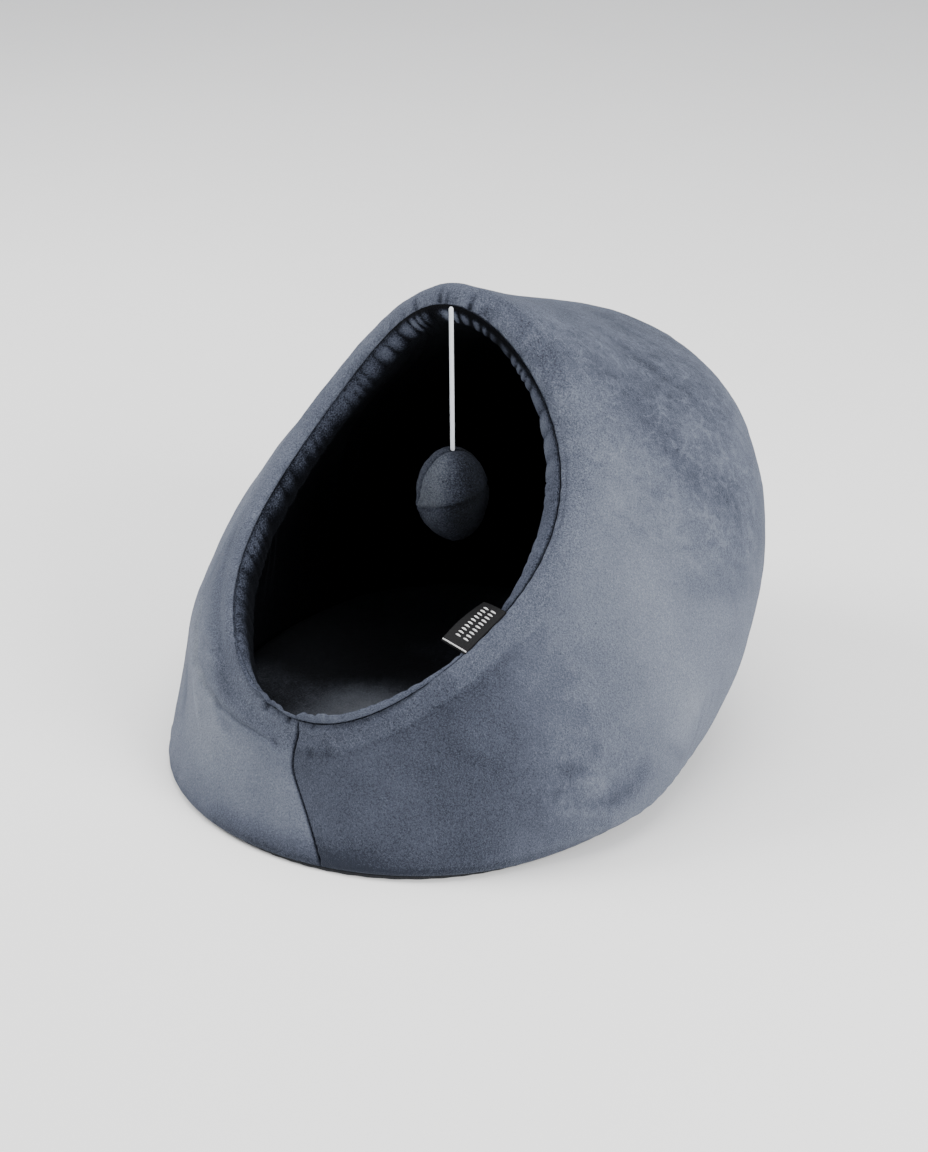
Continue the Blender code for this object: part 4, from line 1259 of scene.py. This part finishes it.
def make_ball(material):
    """Stuffed toy: a long ball of four panels, whose seams meet in a nub at its side.

    Its distance from the centre is the ellipsoid's, less a bell-shaped trough along each seam,
    plus the nub, plus small pleats that fan out from the nub.
    """
    latitude = np.linspace(BALL_OPEN, math.pi - BALL_OPEN, BALL_RINGS)
    angles = np.linspace(0.0, 2 * math.pi, BALL_COLUMNS, endpoint=False)
    lat, lon = np.meshgrid(latitude, angles, indexing="ij")
    ray = np.stack([np.sin(lat) * np.sin(lon), -np.sin(lat) * np.cos(lon), np.cos(lat)], axis=-1)
    pole = unit(np.array(BALL_POLE))
    first = unit(np.cross(pole, UP))
    second = np.cross(pole, first)
    from_pole = np.arccos(np.clip(ray @ pole, -1, 1))
    bearing = np.arctan2(ray @ second, ray @ first)
    ellipsoid = ray * (BALL_RADIUS, BALL_RADIUS, BALL_HEIGHT / 2)
    groove = np.zeros(lat.shape)
    nap_and_shading = np.zeros(lat.shape)
    for (seam, look), (after, _) in zip(BALL_PANELS, BALL_PANELS[1:] + BALL_PANELS[:1]):
        away = BALL_RADIUS * np.abs(turn_between(bearing, seam)) * np.sin(from_pole)
        trough = bell(away, BALL_GROOVE_HALF) + BALL_SHOULDER_SHARE * bell(away, BALL_SHOULDER_HALF)
        groove = np.maximum(groove, trough)
        past_seam = np.mod(bearing - math.radians(seam), 2 * math.pi)
        nap_and_shading = nap_and_shading + look * (past_seam < math.radians((after - seam) % 360))
    nub = bell(from_pole, BALL_NUB_REACH)
    pleats = np.cos(BALL_PLEATS * bearing + 1.0) * bell(from_pole - BALL_PLEAT_MIDDLE, BALL_PLEAT_SPREAD)
    moved = (rippled(ellipsoid, BALL_RIPPLES) - BALL_GROOVE_DEPTH * groove + BALL_NUB_HEIGHT * nub
             + BALL_PLEAT_DEPTH * pleats)
    points = np.array([TOY_X, TOP_Y - CORD_FORWARD, BALL_CENTRE_Z]) + ellipsoid + ray * moved[..., None]
    ball = capped_piece("toy_ball_plush", points, material, flip=True)
    shaded_side = rise(ray @ unit(np.array(BALL_SHADED_SIDE)), *BALL_SHADE_FROM)
    nap_and_shading = nap_and_shading - BALL_GROOVE_SHADE * groove + rippled(ellipsoid, BALL_NAP_RIPPLES) - BALL_SHADE * shaded_side
    mark(ball, "nap_and_shading", nap_and_shading)
    mark(ball, "rim", np.full(lat.shape, BALL_RIM))
    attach(ball, "root")
    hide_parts("toy_ball")
    return ball


CORD_SIDES = 16
CORD_STEPS = 121
CORD_SUNK = 0.014                    # how far its end is sewn into the toy
CORD_TOP_HIDDEN = 0.0005             # its upper end goes this far over the rim's seam
CORD_BRAID_PITCH = 0.0022
CORD_BRAID_RELIEF = 0.03             # as a share of its thickness
CORD_BRAID_STRANDS = 6.0             # pattern repeats round it
CORD_END_THICKNESS = 0.55            # both ends taper to this share of the full thickness
CORD_END_SHARE = 0.006               # over this share of the length


def make_cord(material):
    """White elastic: a round tube along the toy's hanging line, its end sunk into the toy."""
    top = TOP_Z + CORD_TOP_HIDDEN
    bottom = BALL_CENTRE_Z + BALL_HEIGHT / 2 - CORD_SUNK
    share = np.linspace(0.0, 1.0, CORD_STEPS)
    full = BALL_CENTRE_Z + BALL_HEIGHT / 2 + GAP
    down = (bottom - top) * share / (full - top)
    path = np.stack([CORD_TOP_X + (TOY_X - CORD_TOP_X) * down, np.full(CORD_STEPS, TOP_Y - CORD_FORWARD),
                     top + (bottom - top) * share], axis=-1)
    turn = np.linspace(0.0, 2 * math.pi, CORD_SIDES, endpoint=False)
    ring = np.stack([np.cos(turn), np.sin(turn), np.zeros(CORD_SIDES)], axis=-1)
    bulge = 1 + CORD_BRAID_RELIEF * np.cos(share * 2 * math.pi * (top - bottom) / CORD_BRAID_PITCH)
    from_end = np.minimum(share, 1 - share) / CORD_END_SHARE
    taper = np.minimum(1.0, CORD_END_THICKNESS + (1 - CORD_END_THICKNESS) * from_end)
    grid = path[:, None] + ring[None] * (CORD_DIAMETER / 2 * bulge * taper)[:, None, None]
    cord = capped_piece("elastic_cord", grid, material, flip=True)
    layer = cord.data.uv_layers.new(name="braid")
    corners = np.empty(len(cord.data.loops), dtype=np.int32)
    cord.data.loops.foreach_get("vertex_index", corners)
    across = (corners % CORD_SIDES) / CORD_SIDES * CORD_BRAID_STRANDS
    along = share[corners // CORD_SIDES] * (top - bottom) / CORD_BRAID_PITCH
    layer.data.foreach_set("uv", np.stack([across, along], axis=-1).ravel().astype(np.float32))
    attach(cord, "root")
    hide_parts("toy_cord")
    return cord


LABEL_LAYER = 0.00045
LABEL_FOLD_GAP = 0.00030
LABEL_STEPS = 26
LABEL_ARC = 0.0007                   # how far its middle stands above its ends
LABEL_DROOP = 0.0006                 # how far the free corners hang below
LABEL_DROOP_BACK = 0.0030            # and how much more at its upper end
LABEL_SETTLE = 0.0022                # it has sunk this far into the rim's seam
LABEL_STITCH_PITCH = 0.0017
LABEL_STITCH_OVERLAP = 1.05          # a stitch is this much longer than the pitch
LABEL_STITCH_RADIUS = 0.00055
LABEL_EDGE = 0.035                   # the stitched line's place across the tab
LABEL_EDGE_RUN = (0.95, 0.98)        # shares of the depth: for the number of stitches, and their run
LABEL_DASH_LENGTH = 0.0054
LABEL_DASH_RADIUS = 0.00065
LABEL_DASHES = (np.linspace(0.22, 0.88, 10), (0.33, 0.64))  # plain woven dashes: across, and depth


def label_frame():
    """The label's root corner and its unit directions: along the rim, into the mouth, upwards."""
    seam, away, out = (rows[0] for rows in mouth_frame(np.radians(np.array([LABEL_ANGLE]))))
    tilt = math.radians(LABEL_TILT)
    inward = -away * math.cos(tilt) + out * math.sin(tilt)
    along = unit(np.cross(out, away))
    corner = seam + out * (LABEL_RISE - LABEL_SETTLE) - along * LABEL_LENGTH / 2
    return corner, along, inward, np.cross(along, inward)


def label_surface(across, depth, lift):
    """Points on the softly curved tab: shares across and into the mouth, and height above it."""
    start, along, inward, upward = label_frame()
    droop = LABEL_DROOP * (across - 0.5) ** 2 * 4 + LABEL_DROOP_BACK * across ** 2
    bend = LABEL_ARC * np.sin(math.pi * across) * depth - droop * depth ** 2
    level = start + along * (across * LABEL_LENGTH)[..., None] + inward * (depth * LABEL_DEPTH)[..., None]
    return level + upward * (bend + lift)[..., None]


def make_label(tape, thread):
    """Folded black tab sewn into the rim: two layers joined by a round fold, softly curved.

    Its section is a hairpin: out from the rim, round the fold and back, one layer thick.
    """
    out_run = np.linspace(0.0, 1.0, LABEL_STEPS)
    turn = np.linspace(math.pi / 2, -math.pi / 2, 9)[1:-1]
    layer_lift = (LABEL_LAYER + LABEL_FOLD_GAP) / 2

    def hairpin(half):
        """Depth shares and heights of a hairpin line that far outside the fold's middle line."""
        reach = layer_lift + half
        depth = np.concatenate([out_run, 1 + np.cos(turn) * reach / LABEL_DEPTH, out_run[::-1]])
        lift = np.concatenate([np.full(LABEL_STEPS, reach), np.sin(turn) * reach,
                               np.full(LABEL_STEPS, -reach)])
        return depth, lift

    outer_depth, outer_lift = hairpin(LABEL_LAYER / 2)
    inner_depth, inner_lift = hairpin(-LABEL_LAYER / 2)
    depth = np.concatenate([outer_depth, inner_depth[::-1]])
    lift = np.concatenate([outer_lift, inner_lift[::-1]])
    across = np.linspace(0.0, 1.0, LABEL_STEPS * 2)
    depth_grid, across_grid = np.meshgrid(depth, across, indexing="ij")
    lift_grid = np.broadcast_to(lift[:, None], depth_grid.shape)
    points = label_surface(across_grid, depth_grid, lift_grid)
    rows, columns = points.shape[:2]
    faces = grid_quads(rows, columns, wrap_rows=True, wrap_columns=False).tolist()
    half_rows = rows // 2
    row = np.arange(half_rows - 1)
    for column in (0, columns - 1):
        edge = np.stack([row, row + 1, rows - 2 - row, rows - 1 - row], axis=-1) * columns + column
        faces += (edge[:, ::-1] if column == 0 else edge).tolist()
    label = new_piece("label_tab", points, faces, tape)
    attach(label, "root")
    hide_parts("label")
    _, _, inward, upward = label_frame()
    surface = layer_lift + LABEL_LAYER / 2
    count = int(LABEL_DEPTH * LABEL_EDGE_RUN[0] / LABEL_STITCH_PITCH)
    edge_depth = (np.arange(count) + 0.5) / count * LABEL_EDGE_RUN[1]
    edge = label_surface(np.full(count, LABEL_EDGE), edge_depth, np.full(count, surface))
    dash_across, dash_depth = (values.ravel() for values in np.meshgrid(*LABEL_DASHES))
    dashes = label_surface(dash_across, dash_depth, np.full(dash_across.size, surface))
    stitch_length = LABEL_STITCH_PITCH * LABEL_STITCH_OVERLAP
    for name, where, length, radius in (
            ("label_edge_stitches", edge, stitch_length, LABEL_STITCH_RADIUS),
            ("label_dashes", dashes, LABEL_DASH_LENGTH, LABEL_DASH_RADIUS)):
        stitches = sewn_thread(name, where, np.tile(inward, (len(where), 1)),
                               np.tile(upward, (len(where), 1)), length, radius, thread)
        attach(stitches, "root")
    return label


# ---- floor, lights and camera ------------------------------------------------------------------------
FLOOR_CORNERS = ((-4.0, -4.0, 0.0), (4.0, -4.0, 0.0), (4.0, 6.0, 0.0), (-4.0, 6.0, 0.0))
LIGHTS = (
    # name, place, size, power
    ("window_left", (-1.5, -0.6, 1.5), 1.1, 42.0),
    ("window_right", (1.9, -0.3, 1.0), 1.3, 60.0),
    ("overhead", (0.0, 0.5, 2.3), 1.8, 44.0),
)
LIGHTS_AIM = (0.0, 0.0, 0.12)
SKY_COLOUR = (0.93, 0.95, 1.0, 1.0)
SKY_STRENGTH = 0.82


def studio(material):
    """Plain pale floor, soft lights and the camera at the photograph's place."""
    floor = new_piece("floor", np.array(FLOOR_CORNERS), [[0, 1, 2, 3]], material)
    for name, place, size, power in LIGHTS:
        data = bpy.data.lights.new(name, "AREA")
        data.shape = "DISK"
        data.size = size
        data.energy = power
        lamp = bpy.data.objects.new(name, data)
        lamp.location = place
        lamp.rotation_euler = aim(np.array(place), np.array(LIGHTS_AIM))
        bpy.context.scene.collection.objects.link(lamp)
    world = bpy.data.worlds.new("studio")
    world.use_nodes = True
    sky = world.node_tree.nodes["Background"]
    sky.inputs[0].default_value = SKY_COLOUR
    sky.inputs[1].default_value = SKY_STRENGTH
    bpy.context.scene.world = world


def aim(place, target):
    """Turn that points an object's -Z from its place to a target, with its top upwards."""
    x, y, z = unit(target - place)
    return math.acos(-z), 0.0, math.atan2(-x, y)


def place_camera():
    """Camera at the photograph's turn and rise, moved sideways so that the frame matches."""
    turn, lift = math.radians(CAMERA_TURN), math.radians(CAMERA_RISE)
    back = np.array([math.sin(turn) * math.cos(lift), -math.cos(turn) * math.cos(lift), math.sin(lift)])
    right = np.array([math.cos(turn), math.sin(turn), 0.0])
    up = np.cross(back, right)
    centre = np.array([MIDDLE_X, PLAN_CENTRE_Y, 0.0])
    data = bpy.data.cameras.new("camera")
    data.sensor_fit = "VERTICAL"
    data.sensor_height = 36.0
    data.lens = CAMERA_LENS
    camera = bpy.data.objects.new("camera", data)
    camera.location = centre + right * CAMERA_SIDE + up * CAMERA_LIFT + back * CAMERA_DISTANCE
    camera.rotation_euler = (math.pi / 2 - lift, 0.0, turn)
    bpy.context.scene.collection.objects.link(camera)
    bpy.context.scene.camera = camera


VELOUR_TONES = (
    # how light a spot is, from its nap and its painted light and shade, and its colour there
    (0.05, (0.0146, 0.0177, 0.0277)),
    (0.38, (0.0640, 0.0726, 0.1005)),
    (0.62, (0.1175, 0.1316, 0.1655)),
    (0.95, (0.2210, 0.2404, 0.2740)),
)
# near black at the bottom, for the painted shade deep inside the cave
LINING_TONES = (
    (0.00, (0.0008, 0.0009, 0.0015)),
    (0.16, (0.0092, 0.0108, 0.0162)),
) + VELOUR_TONES[1:]
CUSHION_TONES = (
    (0.02, (0.0015, 0.0018, 0.0027)),
    (0.25, (0.0139, 0.0154, 0.0200)),
    (0.50, (0.0477, 0.0516, 0.0631)),
    (0.95, (0.1155, 0.1232, 0.1424)),
)
TOY_TONES = (
    (0.02, (0.0015, 0.0018, 0.0027)),
    (0.30, (0.0140, 0.0166, 0.0250)),
    (0.60, (0.0440, 0.0500, 0.0685)),
    (0.95, (0.1078, 0.1193, 0.1386)),
)
DARK_CLOTH = (0.020, 0.021, 0.024)
BLACK_TAPE = (0.0040, 0.0040, 0.0046)
WHITE_THREAD = (0.70, 0.70, 0.69)


def main():
    """Make every piece, the floor, the lights and the camera."""
    skin_plush = plush("velour", VELOUR_TONES, turned=FRONT_DARK)
    lining_plush = plush("lining_velour", LINING_TONES, sheen=0.02, gloss=0.04, speckle=0.24)
    pad_plush = plush("cushion_velour", CUSHION_TONES, cloud=0.18, streak=0.13, sheen=0.02)
    toy_plush = plush("toy_velour", TOY_TONES, sheen=0.06, gloss=0.08, speckle=0.46, relief=1.4)
    make_skin(skin_plush)
    lining = make_lining(lining_plush)
    base = make_base(woven_tape("dark_cloth", DARK_CLOTH))
    make_cushion(pad_plush)
    ball = make_ball(toy_plush)
    make_cord(braided_elastic("white_elastic"))
    make_label(woven_tape("black_tape", BLACK_TAPE), woven_tape("white_thread", WHITE_THREAD))
    place_camera()
    studio(plain_floor("studio_floor"))


main()
